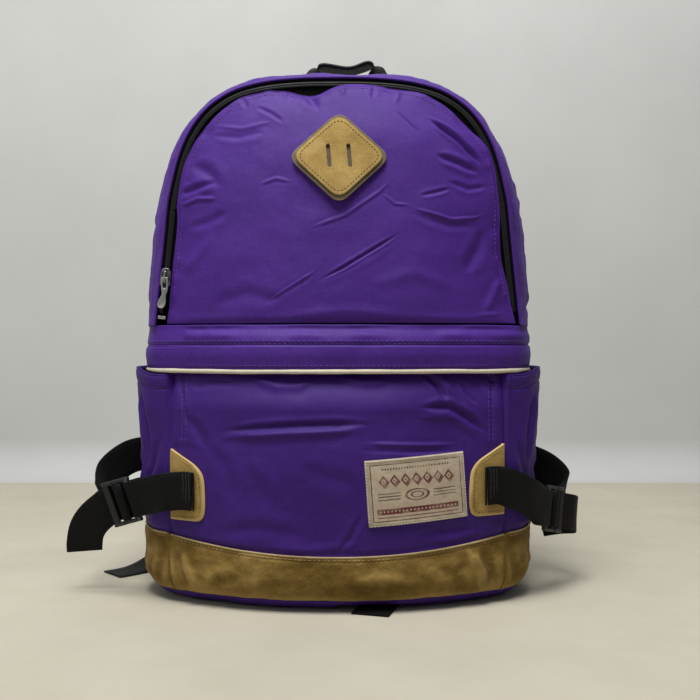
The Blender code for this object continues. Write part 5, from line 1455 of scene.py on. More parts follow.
def add_st(ob, u=0, v=2, per=None):
    n = len(ob.data.vertices)
    co = np.zeros(n * 3)
    ob.data.vertices.foreach_get("co", co)
    co = co.reshape(-1, 3)
    a = ob.data.attributes.get("st") or ob.data.attributes.new("st", "FLOAT_VECTOR", "POINT")
    s = np.zeros((n, 3), np.float32)
    s[:, 0], s[:, 1] = co[:, u], co[:, v]
    a.data.foreach_set("vector", s.ravel())
    return co


pad_o = [(-96.5, 26), (-108, 84), (-134, 98), (-134, 200)] + [(p[0] * 0.915, 14 + (p[2] - 14) * 0.90) for p in bl if p[2] > 215] + \
        [(134, 200), (134, 98), (108, 84), (96.5, 26)]
pad = plate("back_pad_foam", pad_o, [], lambda u, v, h: (u, h, v), BACK_Y + 3.2, BACK_Y + 8.6, PAD, None)
cloth_pad(pad, 4.5, 4.0, 1.6)
co = add_st(pad) / MM
# sewn channels: a centre line and two slanting ones, after the swelling
yb = co[:, 1]
lo, hi = BACK_Y + 2.6, BACK_Y + 10.3
out_f = sstep((yb - (BACK_Y + 5.0)) / 2.5)
chn = np.exp(-(co[:, 0] / 2.6) ** 2) + np.exp(-((np.abs(co[:, 0]) - 62 - 0.06 * (co[:, 2] - 200)) / 2.6) ** 2)
for zc in (120, 200, 280):
    chn = chn + np.exp(-((co[:, 2] - zc) / 2.6) ** 2) * sstep((62 - np.abs(co[:, 0])) / 4)
yb = yb - 2.6 * np.clip(chn, 0, 1) * out_f
co[:, 1] = np.clip(yb, lo, hi)
pad.data.vertices.foreach_set("co", (co * MM).ravel())
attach(pad, "bag")
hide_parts("back_pad")


# ---- zips -------------------------------------------------------------------------
ZF = spline(full(HALF_ZIP), 2401)
NZF = line_normals(ZF)


def span(z_left, z_right):
    i0 = int(np.argmax(ZF[:, 2] >= z_left))
    i1 = len(ZF) - 1 - int(np.argmax(ZF[::-1, 2] >= z_right))
    return i0, i1


def zip_tape(name, i0, i1, n0, n1, y, node, body):
    idx = np.arange(i0, i1 + 1, 5)
    rows = []
    for f in np.linspace(0, 1, 7):
        p = ZF[idx] - NZF[idx] * (n0 + (n1 - n0) * f)
        p[:, 1] = y
        rows.append(p)
    P = np.array(rows)
    o = grid_cloth(name, P, 0.7, TAPE, body, (0, 400, 300))
    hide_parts(node)


def zip_teeth(name, i0, i1, n0, n1, node, body, phase, dirn):
    """Coil elements: short rounded bars across the tape, and the cord that joins them."""
    L = np.concatenate([[0], np.cumsum(np.linalg.norm(np.diff(ZF, axis=0), axis=1))])
    s0, s1 = L[i0], L[i1]
    k = int((s1 - s0) / 1.7)
    V_, F_ = [], []
    for j in range(k):
        s = s0 + (j + phase) * 1.7
        if s > s1:
            break
        p = np.array([np.interp(s, L, ZF[:, c]) for c in range(3)])
        n = np.array([np.interp(s, L, NZF[:, c]) for c in range(3)])
        t = np.array([n[2], 0, -n[0]])
        a, b = p - n * n0, p - n * n1
        a[1] = b[1] = 0
        hw, y0, y1 = 0.48, ZIP_Y - 1.0, ZIP_Y + 1.4
        base = len(V_)
        for q, w, ya, yb in ((a, hw * 0.8, y0 + 0.45, y1 - 0.3), ((a + b) / 2, hw, y0, y1), (b, hw * (1.25 if dirn > 0 else 1.25), y0 + 0.2, y1 - 0.2)):
            for dt, yy in ((-w, ya), (w, ya), (w, yb), (-w, yb)):
                V_.append((q[0] + t[0] * dt, yy, q[2] + t[2] * dt))
        for r_ in range(2):
            for m in range(4):
                x, y_ = base + r_ * 4 + m, base + r_ * 4 + (m + 1) % 4
                F_.append((x, y_, y_ + 4, x + 4))
        F_ += [(base + 3, base + 2, base + 1, base), (base + 8, base + 9, base + 10, base + 11)]
    idx = np.arange(i0, i1 + 1, 6)
    edge_off = n0 if dirn > 0 else n1
    base = len(V_)
    cr = []
    for i in idx:
        q = ZF[i] - NZF[i] * edge_off
        for m in range(6):
            an = 2 * math.pi * m / 6
            cr.append((q[0] + NZF[i][0] * 0.45 * math.cos(an), ZIP_Y + 0.3 + 0.8 * math.sin(an), q[2] + NZF[i][2] * 0.45 * math.cos(an)))
    V_ += cr
    m_ = len(idx)
    for i in range(m_ - 1):
        for m in range(6):
            x, y_ = base + i * 6 + m, base + i * 6 + (m + 1) % 6
            F_.append((x, y_, y_ + 6, x + 6))
    F_ += [tuple(base + m for m in reversed(range(6))), tuple(base + (m_ - 1) * 6 + m for m in range(6))]
    F_ = outward(V_, F_)
    o = make(name, V_, F_, COIL, body, np.array(V_)[:, [0, 2]], True, 40)
    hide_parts(node)


o0, o1 = span(233, 233)
i0, i1 = span(316.6, 241)
e0, e1 = span(238, 315.9)[0], int(np.argmax(ZF[:, 2] >= 315.9))
zip_tape("zip_tape_bag_side", o0, o1, 2.3, 4.7, ZIP_Y + 0.35, "main_zip_tape_outer", "bag")
zip_teeth("zip_coil_bag_side", o0, o1, 4.9, 6.6, "main_zip_coil_outer", "bag", 0.0, 1)
zip_teeth("zip_coil_panel_side", i0, i1, 6.5, 8.1, "main_zip_coil_inner", "front_panel", 0.5, -1)
zip_tape("zip_tape_panel_side", i0, i1, 8.3, 21.0, ZIP_Y + 0.9, "main_zip_tape_inner", "front_panel")
zip_teeth("zip_coil_lower_end", e0, e1, 6.5, 8.1, "main_zip_coil_end", "bag", 0.5, -1)
zip_tape("zip_tape_lower_end", e0, e1, 8.3, 15.0, ZIP_Y + 0.9, "main_zip_tape_end", "bag")

ZIP_DIR = V(8, 0, 78).normalized()
ZIP_OUT = V(-ZIP_DIR.z, 0, ZIP_DIR.x)
SLZ = 262.0
on_line = V(-148.5 + 8 * (SLZ - 232) / 78, 0, SLZ)
SL_O = on_line - ZIP_OUT * 6.5 + V(0, ZIP_Y, 0)
FRONT = V(0, -1, 0)
shape = [(-4.2, -7.0), (-2.2, -7.0), (-1.7, -5.6), (1.7, -5.6), (2.2, -7.0), (4.2, -7.0), (4.3, -2), (4.1, 2.5), (3.3, 5.8), (1.8, 7.0), (-1.8, 7.0), (-3.3, 5.8), (-4.1, 2.5), (-4.3, -2)]
plc = lambda u, v, h: SL_O + ZIP_OUT * u + ZIP_DIR * v + FRONT * h
sl = plate("zip_slider_front", shape, [], plc, 2.3, 3.8, METAL_DARK, "main_slider", 0.45, None, 3)
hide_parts("main_slider")
plate("zip_slider_back", shape, [], plc, -5.1, -3.3, METAL_DARK, "main_slider", 0.4, None, 2)
neck = [(-0.24, 1.0), (0.24, 1.0), (0.24, 6.2), (-0.24, 6.2)]
plate("zip_slider_neck", neck, [], plc, -3.4, 2.5, METAL_DARK, "main_slider", 0.08)
v, f = rounded_bar(*[np.array(x) for x in (plc(0, -4.4, 4.2), plc(0, -4.3, 7.9))], np.array(ZIP_DIR), 0.8, 0.5)
parts = [(v, f)]
pts = [(-4.0, 3.6), (-4.0, 7.4), (-3.2, 8.3), (3.2, 8.3), (4.0, 7.4), (4.0, 3.6)]
parts = []
for (a, ha), (b, hb) in zip(pts, pts[1:]):
    parts.append(rounded_bar(np.array(plc(0, a, ha)), np.array(plc(0, b, hb)), np.array(ZIP_OUT), 0.45, 0.55, 8, 2))
br = join("zip_slider_bridge_bar", parts, METAL, "main_slider")
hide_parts("main_slider_bridge")
# pull: an S shaped tab with an eye, thin at its waist and round at its foot
PAX = SL_O + FRONT * 6.1 - ZIP_DIR * 1.9
half = [(2.2, 1.2), (2.75, 0.2), (2.75, -5.5), (2.6, -9.0), (1.9, -11.0), (1.65, -13.0), (2.2, -15.2), (3.0, -17.6), (3.2, -20.2), (2.6, -22.4), (1.3, -23.7)]
tabo = [(x, z) for x, z in half] + [(-x, z) for x, z in reversed(half)]
eye = [(-1.3, -0.75), (1.3, -0.75), (1.45, -4.0), (1.1, -7.6), (-1.1, -7.6), (-1.45, -4.0)]


def pull_place(u, v, h):
    s = -v / 24.0
    bend = 0.85 * math.sin(max(0.0, s - 0.28) * 6.6) if s > 0.28 else 0.0
    side = 0.9 * math.sin(max(0.0, s - 0.1) * 5.2)
    thick = 1.0 + 0.55 * math.exp(-((v + 19.5) / 3.2) ** 2)
    return PAX - ZIP_OUT * (u + side) + ZIP_DIR * v + FRONT * (h * thick + max(-0.2, bend * 0.5))


pl = plate("zip_pull_tab", tabo, [eye], pull_place, -0.62, 0.62, METAL, "main_pull", 0.3, None, 3)
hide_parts("main_pull")
st_ = on_line - ZIP_DIR * 33 - ZIP_OUT * 6.5 + V(0, ZIP_Y - 1.2, 0)
ms = plate("zip_end_stop", [(-3.1, -1.3), (3.1, -1.3), (3.1, 1.3), (-3.1, 1.3)], [], lambda u, v, h: st_ + ZIP_OUT * u + ZIP_DIR * v + FRONT * h,
           0.2, 1.4, METAL, "bag", 0.35, None, 3)
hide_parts("main_zip_stop")

# pocket zip behind the flap
PZ = [(-112, -59.5), (-85, -69), (-66, -74.4), (-52, -77.2), (-40, -77.6), (-20, -77.6), (0, -77.6)]
pz = plan(PZ, 241)
pn = plan_normals(pz)
for nm, z0, z1, dd, node in (("pocket_zip_tape_top", 203.6, 213, 0.0, "pocket_zip_tape_upper"), ("pocket_zip_tape_bottom", 190.8, 199.4, 0.0, "pocket_zip_tape_lower")):
    P = np.array([np.column_stack([pz + pn * -0.1, np.full(241, z)]) for z in np.linspace(z0, z1, 8)])
    o = grid_cloth(nm, P, 0.7, TAPE, "bag", (0, 0, 200))
    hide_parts(node)
parts = []
arc = np.concatenate([[0], np.cumsum(np.linalg.norm(np.diff(pz, axis=0), axis=1))])
for k in range(int(arc[-1] / 1.7)):
    s = 0.8 + k * 1.7
    c = np.array([np.interp(s, arc, pz[:, 0]), np.interp(s, arc, pz[:, 1])])
    nn_ = np.array([np.interp(s, arc, pn[:, 0]), np.interp(s, arc, pn[:, 1])])
    up = k % 2
    z0, z1 = (201.2, 203.1) if up else (199.9, 201.8)
    q = c + nn_ * -0.4
    parts.append(rounded_bar(np.array([q[0], q[1], z0]), np.array([q[0], q[1], z1]), np.array([nn_[0], nn_[1], 0]), 0.5, 0.75, 6, 1))
o = join("pocket_zip_teeth", parts, COIL, "bag")
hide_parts("pocket_zip_coil")
PS = V(-30, -77.6, 201.5)
o = plate("pocket_slider_body", [(-6, -2.4), (-4.6, -4.0), (4.2, -4.0), (6, -2.2), (6, 2.2), (4.2, 4.0), (-4.6, 4.0), (-6, 2.4)], [],
          lambda u, v, h: V(PS.x + u, -78.7 - h, PS.z + v), 0, 1.15, PLASTIC, "pocket_slider", 0.3, None, 3)
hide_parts("pocket_slider")
o = plate("pocket_pull_tab", [(-1.6, 1.3), (-2.9, 0.3), (-2.6, -7), (-2.9, -10.2), (-1.6, -11.4), (1.6, -11.4), (2.9, -10.2), (2.6, -7), (2.9, 0.3), (1.6, 1.3)],
          [[(-1.4, -0.4), (1.4, -0.4), (1.4, -3.2), (-1.4, -3.2)]], lambda u, v, h: V(PS.x + u, -80.35 - h, 202.0 + v), 0, 0.8, PLASTIC, "pocket_pull", 0.22, None, 2)
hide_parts("pocket_pull")

# ---- leather tabs -------------------------------------------------------------------
TAB_EDGE = [(68.0, -112.0), (68.3, -108.2), (70.5, -105.0), (76, -103.3), (88, -103.0), (101, -104.0),
            (107.5, -106.5), (113.2, -112.2), (118.8, -122.0), (123.8, -131.0)]
te = spline([(x, z) for z, x in TAB_EDGE], 61)
for side, sg in (("left", 1), ("right", -1)):
    sh = 4.0 if side == "right" else 0.0
    z, xe = te[:, 1], te[:, 0]
    fx = np.concatenate([np.linspace(0, 0.9, 22), [0.94, 0.97, 0.99, 1.0]])
    XX = (-131.6 + (xe[:, None] + 131.6) * fx[None, :]) * sg
    ZZ = z[:, None] + sh + 0 * XX
    edge_d = np.minimum(np.minimum((1 - fx)[None, :] * (xe[:, None] + 131.6), ZZ - 68.0 - sh + 0.01), 12)
    H = 2.2 - 1.0 * np.exp(-(edge_d / 0.9) ** 2) + 0.25 * vnoise(XX / 9, ZZ / 9, 141) - 0.35 * np.exp(-((edge_d - 3.2) / 0.7) ** 2)
    P = on_front(XX, ZZ, H)
    wear = np.clip(np.exp(-(edge_d / 1.3) ** 2) + 0.3 * vnoise(XX / 8, ZZ / 8, 143), 0, 1)
    o = grid_cloth("leather_tab_" + side, P, 1.4, LEATHER_P, "bag", (0, 0, 90), extra={"wear": wear})
    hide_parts("side_tab_" + side)
    # stitched 3 mm inside its curved edge
    tang = np.gradient(te, axis=0)
    tang /= np.linalg.norm(tang, axis=1)[:, None]
    inn = te + np.stack([-tang[:, 1], tang[:, 0]], 1) * 3.1
    inn = np.vstack([[(-126, 71.2)], [(-112, 71.0)], inn[5:-3]])
    p = on_front(inn[:, 0] * sg, inn[:, 1] + sh, np.full(len(inn), 2.15))
    stitches("leather_tab_stitches_" + side, [(p, (0, -1, 0))], TH_DARK, "bag", 2.3, 0.9, 0.3)

# ---- straps on the pack's own route -----------------------------------------------------
WEB_W, WEB_T = 30.0, 1.2


def part_spline(points, n):
    return [Vector(r) for r in spline([tuple(p) for p in points], n)]


def strap_path(stations, n):
    pts = part_spline([s[0] for s in stations], n)
    m = len(stations)
    cum = [0.0]
    for i in range(1, m):
        cum.append(cum[-1] + (Vector(stations[i][0]) - Vector(stations[i - 1][0])).length)
    out = []
    for i in range(n):
        u = cum[-1] * i / (n - 1)
        k = 0
        while k < m - 2 and cum[k + 1] < u:
            k += 1
        f = smooth((u - cum[k]) / (cum[k + 1] - cum[k]))
        out.append(Vector(stations[k][1]).lerp(Vector(stations[k + 1][1]), f).normalized())
    return pts, out


def basis(el, ew, hint):
    el = el.normalized()
    ew = (ew - el * ew.dot(el)).normalized()
    en = el.cross(ew)
    if en.dot(hint) < 0:
        en = -en
    return el, ew, en


def web_through(o, el, en):
    pts = [(13, -5.6), (6, -5.6), (-2.2, -5.6)]
    for k in range(1, 4):
        a = math.radians(90 * k / 3)
        pts.append((-2.6 - 2.2 * math.sin(a), -3.4 - 2.2 * math.cos(a)))
    pts.append((-4.8, -1.0))
    for k in range(0, 7):
        a = math.radians(180 - 30 * k)
        pts.append((-1.0 + 3.8 * math.cos(a), 0.2 + 3.8 * math.sin(a)))
    pts.append((2.8, -0.8))
    for k in range(1, 4):
        a = math.radians(90 * k / 3)
        pts.append((5.0 - 2.2 * math.cos(a), -1.0 - 2.2 * math.sin(a)))
    pts.append((13.5, -3.2))
    return [o + el * l + en * n for l, n in pts]


def stub_loop(o, el, en):
    pts = [(-20, 3.5)]
    for k in range(0, 9):
        a = math.radians(90 - 180 * k / 8)
        pts.append((-11 + 3.5 * math.cos(a), 3.5 * math.sin(a)))
    pts.append((-20, -3.5))
    return [o + el * l + en * n for l, n in pts]


def webbing_path(o, el, ew, en, load, tail):
    inner = web_through(o, el, en)
    a_pts, a_w = strap_path(load + [(inner[0], ew)], 14)
    b_pts, b_w = strap_path([(inner[-1], ew)] + tail, 16)
    return (a_pts[:-1], a_w[:-1]), (inner, [ew] * len(inner)), (b_pts[1:], b_w[1:])


def lock_mesh(name, node, o, el, ew, en, body):
    """Ladder lock: two side rails with rounded shoulders, three cross bars, grip ribs on the free bar."""
    P = lambda l, w, n: np.array(o + el * l + ew * w + en * n)
    up = np.array(en)
    parts = []
    for w in (-17.3, 17.3):
        parts.append(rounded_bar(P(-12.8, w, 0), P(12.8, w, 0), up, 1.62, 1.7, 14, 4, 3.4))
        parts.append(rounded_bar(P(3.0, w, 0.5), P(12.6, w, 0.75), up, 1.66, 1.75, 14, 4, 3.0))
    for l, hl, hn in ((-11.0, 1.95, 1.65), (-1.0, 1.9, 1.5), (10.0, 2.8, 1.6)):
        parts.append(rounded_bar(P(l, -17.6, 0), P(l, 17.6, 0), up, hl, hn, 14, 2, 3.0))
    for k in range(3):
        l = 8.4 + k * 1.7
        parts.append(rounded_bar(P(l, -15.4, 1.5), P(l, 15.4, 1.5), up, 0.55, 0.5, 8, 2))
    ob = join(name, parts, PLASTIC, body, 40)
    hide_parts(node)
    # scuffed caps at the bar ends
    caps = [rounded_bar(P(-11.0, w - 2.0, 0.35), P(-11.0, w + 2.0, 0.35), up, 1.7, 1.5, 12, 4, 2.4) for w in (-16.6, 16.6)]
    join(name + "_caps", caps, PLASTIC_W, body, 40)
    return ob


oL = V(-175, -46, 79)
elL, ewL, enL = basis(V(-0.90, 0.33, -0.28), V(0.33, 0.05, -0.94), V(-0.3, -0.9, 0))
oR = V(179, -27, 70)
elR, ewR, enR = basis(V(0.66, 0.72, -0.2), V(-0.12, -0.15, -0.98), V(0.74, -0.67, 0))
lock_mesh("ladder_lock_left", "side_lock_left", oL, elL, ewL, enL, "side_lock_left")
lock_mesh("ladder_lock_right", "side_lock_right", oR, elR, ewR, enR, "side_lock_right")


def side_webbing(side, o, el, ew, en, load, tail):
    a, b, c = webbing_path(o, el, ew, en, load, tail)
    body = "side_lock_" + side
    path, wd = a[0] + b[0] + c[0], a[1] + b[1] + c[1]
    ob = strap("compression_webbing_" + side, path, wd, WEB_W, WEB_T, WEB, None, dens=4)
    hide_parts("compression_strap_" + side)
    return ob, a, b, c


cL, aL, bL, tL = side_webbing("left", oL, elL, ewL, enL,
        [((-151.5, 71.5, 108), (0, 0, -1)), ((-168, 58, 108), (0.1, 0, -1)),
         ((-187, 30, 106), (0.2, 0, -1)), ((-199, -4, 93), (0.3, 0.1, -1)), ((-194, -32, 78), (0.33, 0.05, -1))],
        [((-200, -36, 64), (0.6, 0.1, -0.75)), ((-207.5, -32, 53), (0.85, 0.05, -0.5)),
         ((-210.5, -28, 40), (0.99, 0, -0.1)), ((-210.5, -27, 35), (1, 0, -0.02))])
cR, aR, bR, tR = side_webbing("right", oR, elR, ewR, enR,
        [((151.5, 71.5, 104), (0, 0, -1)), ((168, 58, 102), (-0.1, 0, -1)),
         ((188, 34, 94), (-0.15, 0, -1)), ((197, 10, 80), (-0.12, -0.1, -1))],
        [((203, -2, 62), (-0.1, -0.1, -1)), ((206, 18, 56), (0, 0, -1)),
         ((198, 44, 50), (0.05, 0, -1)), ((186, 62, 44), (0.1, 0, -1))])
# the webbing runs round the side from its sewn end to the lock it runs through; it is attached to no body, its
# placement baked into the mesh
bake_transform(cL)
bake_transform(cR)


def stub_path(o, el, ew, en, side, tab_x, tab_z, mids):
    ring = stub_loop(o, el, en)
    sgn = -1 if side == "left" else 1
    of = lambda x, h: Vector(on_front(np.array(sgn * x), np.array(float(tab_z)), np.array(h)))
    outer = [of(abs(tab_x), 5.6), of(abs(tab_x) + 9, 6.0)]
    inner = [of(abs(tab_x) + 9, 4.1), of(abs(tab_x) + 1, 3.9)]
    up = V(0, 0, -1)
    o_st = [(outer[0], up), (outer[1], up)] + [(p + n * 1.4, w) for p, n, w in mids] + [(ring[0], ew)]
    i_st = [(ring[-1], ew)] + [(p - n * 1.4, w) for p, n, w in reversed(mids)] + [(inner[0], up), (inner[1], up)]
    a_p, a_w = strap_path(o_st, 14)
    b_p, b_w = strap_path(i_st, 14)
    return a_p[:-1] + ring + b_p[1:], a_w[:-1] + [ew] * len(ring) + b_w[1:]


nl, nr_ = V(-0.55, -0.83, 0), V(0.55, -0.83, 0)
for side, o, el, ew, en, tx, tz, mids in (
        ("left", oL, elL, ewL, enL, 111, 92, [(V(-137.5, -67.5, 90), nl, V(0.05, 0, -1)), (V(-149, -60, 86.5), V(-0.45, -0.89, 0), V(0.15, 0, -1))]),
        ("right", oR, elR, ewR, enR, 115, 96, [(V(137, -66.5, 93), nr_, V(-0.05, 0, -1)), (V(154, -55, 84), V(0.65, -0.75, 0), V(-0.12, 0, -1))])):
    sg = -1 if side == "left" else 1
    path, wd = stub_path(o, el, ew, en, side, tx, tz, mids)
    ob = strap("strap_stub_web_" + side, path, wd, WEB_W, WEB_T, WEB, None, dens=4)
    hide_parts("strap_stub_" + side)
    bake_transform(ob)
    # bar tack through both layers and the tab
    runs = []
    zz = np.linspace(tz - 13.5, tz + 13.5, 30)
    for dx in (2.0, 4.4, 6.8):
        x = np.full(30, sg * (tx + dx)) + 0.5 * (np.arange(30) % 2)
        runs.append((on_front(x, zz, np.full(30, 6.25)), (sg * 0.3, -1, 0)))
    stitches("strap_tack_" + side, runs, TH_BLACK, "bag", 1.5, 0.5, 0.28)
    # heat sealed end
    strap("strap_stub_fold_" + side, [Vector(on_front(np.array(sg * (tx + k)), np.array(float(tz)), np.array(h))) for k, h in ((-0.7, 4.2), (-1.1, 4.8), (-0.7, 5.4))],
          [V(0, 0, -1)] * 3, WEB_W, 1.2, WEB, "bag", dens=4)

# ---- shoulder straps, their locks and webbing ----------------------------------------------
ST = [(-46, 78.5, 396), (-49, 86, 370), (-56, 103, 325), (-68, 113, 262), (-81, 112, 195), (-91, 103, 142), (-95, 97.5, 121)]
ST_W = [50, 56, 64, 64, 60, 48, 36]
ST_T = [5, 9, 13, 13, 12, 9, 5]


def padded_strap(side, sx):
    pts = spline([(x * sx, y, z) for x, y, z in ST], 49)
    n = len(pts)
    tan = np.gradient(pts, axis=0)
    tan /= np.linalg.norm(tan, axis=1)[:, None]
    verts, K = [], 16
    f = np.linspace(0, len(ST) - 1, n)
    W = np.interp(f, range(7), ST_W) / 2
    Tt = np.interp(f, range(7), ST_T) / 2
    frames = []
    for i in range(n):
        wd = np.array([1.0, 0, 0]) - tan[i] * tan[i][0]
        wd /= np.linalg.norm(wd)
        nn = np.cross(tan[i], wd)
        frames.append((wd, nn))
        for k in range(K):
            a = 2 * math.pi * k / K
            c, s = math.cos(a), math.sin(a)
            cu = math.copysign(abs(c) ** 0.55, c) * 0.93
            cv = math.copysign(abs(s) ** 0.8, s) * 0.74
            verts.append(pts[i] + wd * cu * W[i] + nn * cv * Tt[i])
    faces = []
    for i in range(n - 1):
        for k in range(K):
            a, b = i * K + k, i * K + (k + 1) % K
            faces.append((a, b, b + K, a + K))
    faces += [tuple(reversed(range(K))), tuple((n - 1) * K + k for k in range(K))]
    ob = make("shoulder_strap_pad_" + side, verts, outward(verts, faces), PAD, None, np.zeros((len(verts), 2)))
    cloth_pad(ob, 4.0, 4.0, 2.2)
    co = add_st(ob) / MM
    # a stitched line 6 mm inside each edge
    d2 = ((co[:, None, :] - pts[None, :, :]) ** 2).sum(2)
    near = d2.argmin(1)
    wd = np.array([fr_[0] for fr_ in frames])[near]
    nn = np.array([fr_[1] for fr_ in frames])[near]
    rel = co - pts[near]
    w = (rel * wd).sum(1)
    h = (rel * nn).sum(1)
    groove = np.exp(-((W[near] - 6.5 - np.abs(w)) / 1.5) ** 2)
    co = co - nn * (np.sign(h) * groove * np.minimum(np.abs(h) * 0.45, 1.7))[:, None]
    hh = ((co - pts[near]) * nn).sum(1)
    lim = Tt[near] * 1.0
    co = co - nn * (np.sign(hh) * np.maximum(0, np.abs(hh) - lim))[:, None]
    ob.data.vertices.foreach_set("co", (co * MM).ravel())
    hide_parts("shoulder_strap_" + side)
    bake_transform(ob)
    # grosgrain binding round the edge
    for tag, e in (("a", -1), ("b", 1)):
        path = [pts[i] + frames[i][0] * e * (W[i] - 2.4) for i in range(2, n - 1)]
        b = tube("strap_binding_%s_%s" % (tag, side), path, 1.9, WEB, None, 10, 0.8)
        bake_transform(b)
    runs = []
    for e in (-1, 1):
        for q in (1, -1):
            path = np.array([pts[i] + frames[i][0] * e * (W[i] - 6.5) + frames[i][1] * q * max(0.5, Tt[i] * 0.78 - 0.7) for i in range(3, n - 2)])
            runs.append((path, tuple(frames[20][1] * q)))
    stt = stitches("strap_pad_stitches_" + side, runs, TH_BLACK, None, 2.8, 1.2, 0.28)
    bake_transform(stt)
    return pts, frames


for side, sx in (("left", 1), ("right", -1)):
    padded_strap(side, sx)
    o = V(-99.5 * sx, 93.0, 101.5)
    anchor = V(-131 * sx, 73.2, 43)
    el, ew, en = basis(anchor - o, V(0.843 * sx, 0, -0.443), V(0, 1, 0))
    lock_mesh("shoulder_ladder_lock_" + side, "shoulder_lock_" + side, o, el, ew, en, "shoulder_lock_" + side)
    ring = stub_loop(o, el, en)[1:-1]
    lp = strap("lock_loop_web_" + side, ring, [ew] * len(ring), WEB_W, WEB_T, WEB, "shoulder_strap_" + side, dens=3)
    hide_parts("shoulder_lock_loop_" + side)
    if side == "left":
        tail = [(tuple(o + el * 21 - en * 1.5), ew), ((-116, 97, 68), (0.85, -0.2, -0.4)), ((-133, 97, 43), (0.75, -0.5, -0.4)),
                ((-152, 84, 21), (0.7, -0.68, -0.2)), ((-172, 64, 6.5), (0.68, -0.73, -0.05)),
                ((-187, 48, 1.3), (0.67, -0.74, 0)), ((-203, 33, 1.0), (0.67, -0.74, 0))]
    else:
        tail = [(tuple(o + el * 21 - en * 1.5), ew), ((110, 97, 66), (-0.9, 0.05, 0.3)), ((102, 101, 42), (-0.97, 0.0, 0.15)),
                ((92, 99, 17), (-0.98, 0.1, 0)), ((84, 90, 3.6), (-0.97, 0.24, 0)),
                ((76.5, 77, 1.0), (-0.96, 0.28, 0)), ((60, 24, 0.9), (-0.96, 0.28, 0)),
                ((41, -40, 0.9), (-0.96, 0.28, 0)), ((25, -94, 0.9), (-0.96, 0.28, 0))]
    load = [(anchor + V(0, 0.6, 0) + el * 2, ew), (anchor - el * 10, ew)]
    a, b, c = webbing_path(o, el, ew, en, load, tail)
    ob = strap("shoulder_web_" + side, a[0] + b[0] + c[0], a[1] + b[1] + c[1], WEB_W, WEB_T, WEB, None, dens=4)
    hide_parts("shoulder_webbing_" + side)
    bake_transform(ob)
    ax = anchor - V(0, 3.4, 0)
    an = plate("anchor_tab_" + side, [(-12 * sx, -20), (-12 * sx, 12), (14 * sx, 10), (14 * sx, -4)][::sx], [],
               lambda u, v, h: V(ax.x + u, h, ax.z + v), BACK_Y + 2.6, BACK_Y + 3.9, PURPLE, "bag", 0.35)
    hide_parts("strap_anchor_" + side)

# ---- haul loop --------------------------------------------------------------------------
HX, HY = 9.0, BACK_Y + 3.4
HL = [((HX - 29, HY, 425.3), (1, 0, 0)), ((HX - 29, HY, 432), (1, 0, 0)),
      ((HX - 30, HY - 0.5, 444), (0.98, -0.2, 0)), ((HX - 31, HY - 2, 457), (0.75, -0.66, 0)),
      ((HX - 25, HY - 3, 463), (0.15, -0.98, 0)), ((HX, HY - 3.5, 460), (0, -1, 0)),
      ((HX + 19, HY - 3, 465), (-0.15, -0.98, 0)), ((HX + 26, HY - 2, 459), (-0.75, -0.66, 0)),
      ((HX + 28.5, HY - 0.5, 444), (-0.98, -0.2, 0)), ((HX + 29, HY, 432), (-1, 0, 0)),
      ((HX + 29, HY, 425.3), (-1, 0, 0))]
hp, hw = strap_path(HL, 37)
hl = strap("haul_loop_web", hp, hw, 24.0, 3.2, WEB_GREY, "haul_loop", dens=4)
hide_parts("haul_loop")
for side, sgn in (("left", -1), ("right", 1)):
    cx = HX + 29 * sgn
    e = strap("haul_loop_foot_" + side, [V(cx, HY, z) for z in (410.2, 414, 418, 422, 425.6)], [V(1, 0, 0)] * 5, 24.0, 1.5, WEB_GREY, "bag", dens=3)
    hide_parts("haul_loop_end_" + side)
    xs = np.linspace(cx - 10.5, cx + 10.5, 24)
    stitches("haul_loop_tack_" + side, [(np.column_stack([xs, np.full(24, HY + 0.85), 412.6 + 0.4 * (np.arange(24) % 2)]), (0, 1, 0)),
                                        (np.column_stack([xs, np.full(24, HY + 0.85), 420.6 + 0.4 * (np.arange(24) % 2)]), (0, 1, 0))],
             TH_BLACK, "bag", 1.6, 0.5, 0.28)

# ---- lash patch ---------------------------------------------------------------------------
TILT = math.radians(14)
pu, pv, pnn = V(1, 0, 0), V(0, math.sin(TILT), math.cos(TILT)), V(0, -math.cos(TILT), math.sin(TILT))


def diamond(a, b, r, n=6):
    tips = [V(a, 0, 0), V(0, b, 0), V(-a, 0, 0), V(0, -b, 0)]
    out = []
    for k in range(4):
        p, c, q = tips[k - 1], tips[k], tips[(k + 1) % 4]
        s, e = c + (p - c).normalized() * r, c + (q - c).normalized() * r
        for m in range(n + 1):
            f = m / n
            w = s.lerp(c, f).lerp(c.lerp(e, f), f)
            out.append((w.x, w.y))
    return out


def door_base_y(x, z):
    t = (z - 224) / 188
    return ZIP_Y - 1.6 - 35.4 * (1 - abs(x / 134) ** 2.6) * (1 - t ** 2.3)


po = V(1.5, door_base_y(0, 352), 352)
PB = po + pnn * 1.0
plp = lambda u, v, h: PB + pu * u + pv * v + pnn * (h - 0.0009 * (u * u + v * v) * 0.5)


def slot_loop(cx, lean=0.09, n=6):
    a, b = V(cx - lean * 8.4, 8.4, 0), V(cx + lean * 8.4, -8.4, 0)
    out = []
    for k in range(n + 1):
        an = math.pi * k / n
        out.append((a.x + 1.55 * math.cos(an), a.y + 1.55 * math.sin(an)))
    for k in range(n + 1):
        an = math.pi + math.pi * k / n
        out.append((b.x + 1.55 * math.cos(an), b.y + 1.55 * math.sin(an)))
    return out


def dense(loop, step=2.0):
    out = []
    for a, b in zip(loop, loop[1:] + loop[:1]):
        k = max(1, int(math.hypot(b[0] - a[0], b[1] - a[1]) / step))
        for m in range(k):
            out.append((lerp(a[0], b[0], m / k), lerp(a[1], b[1], m / k)))
    return out


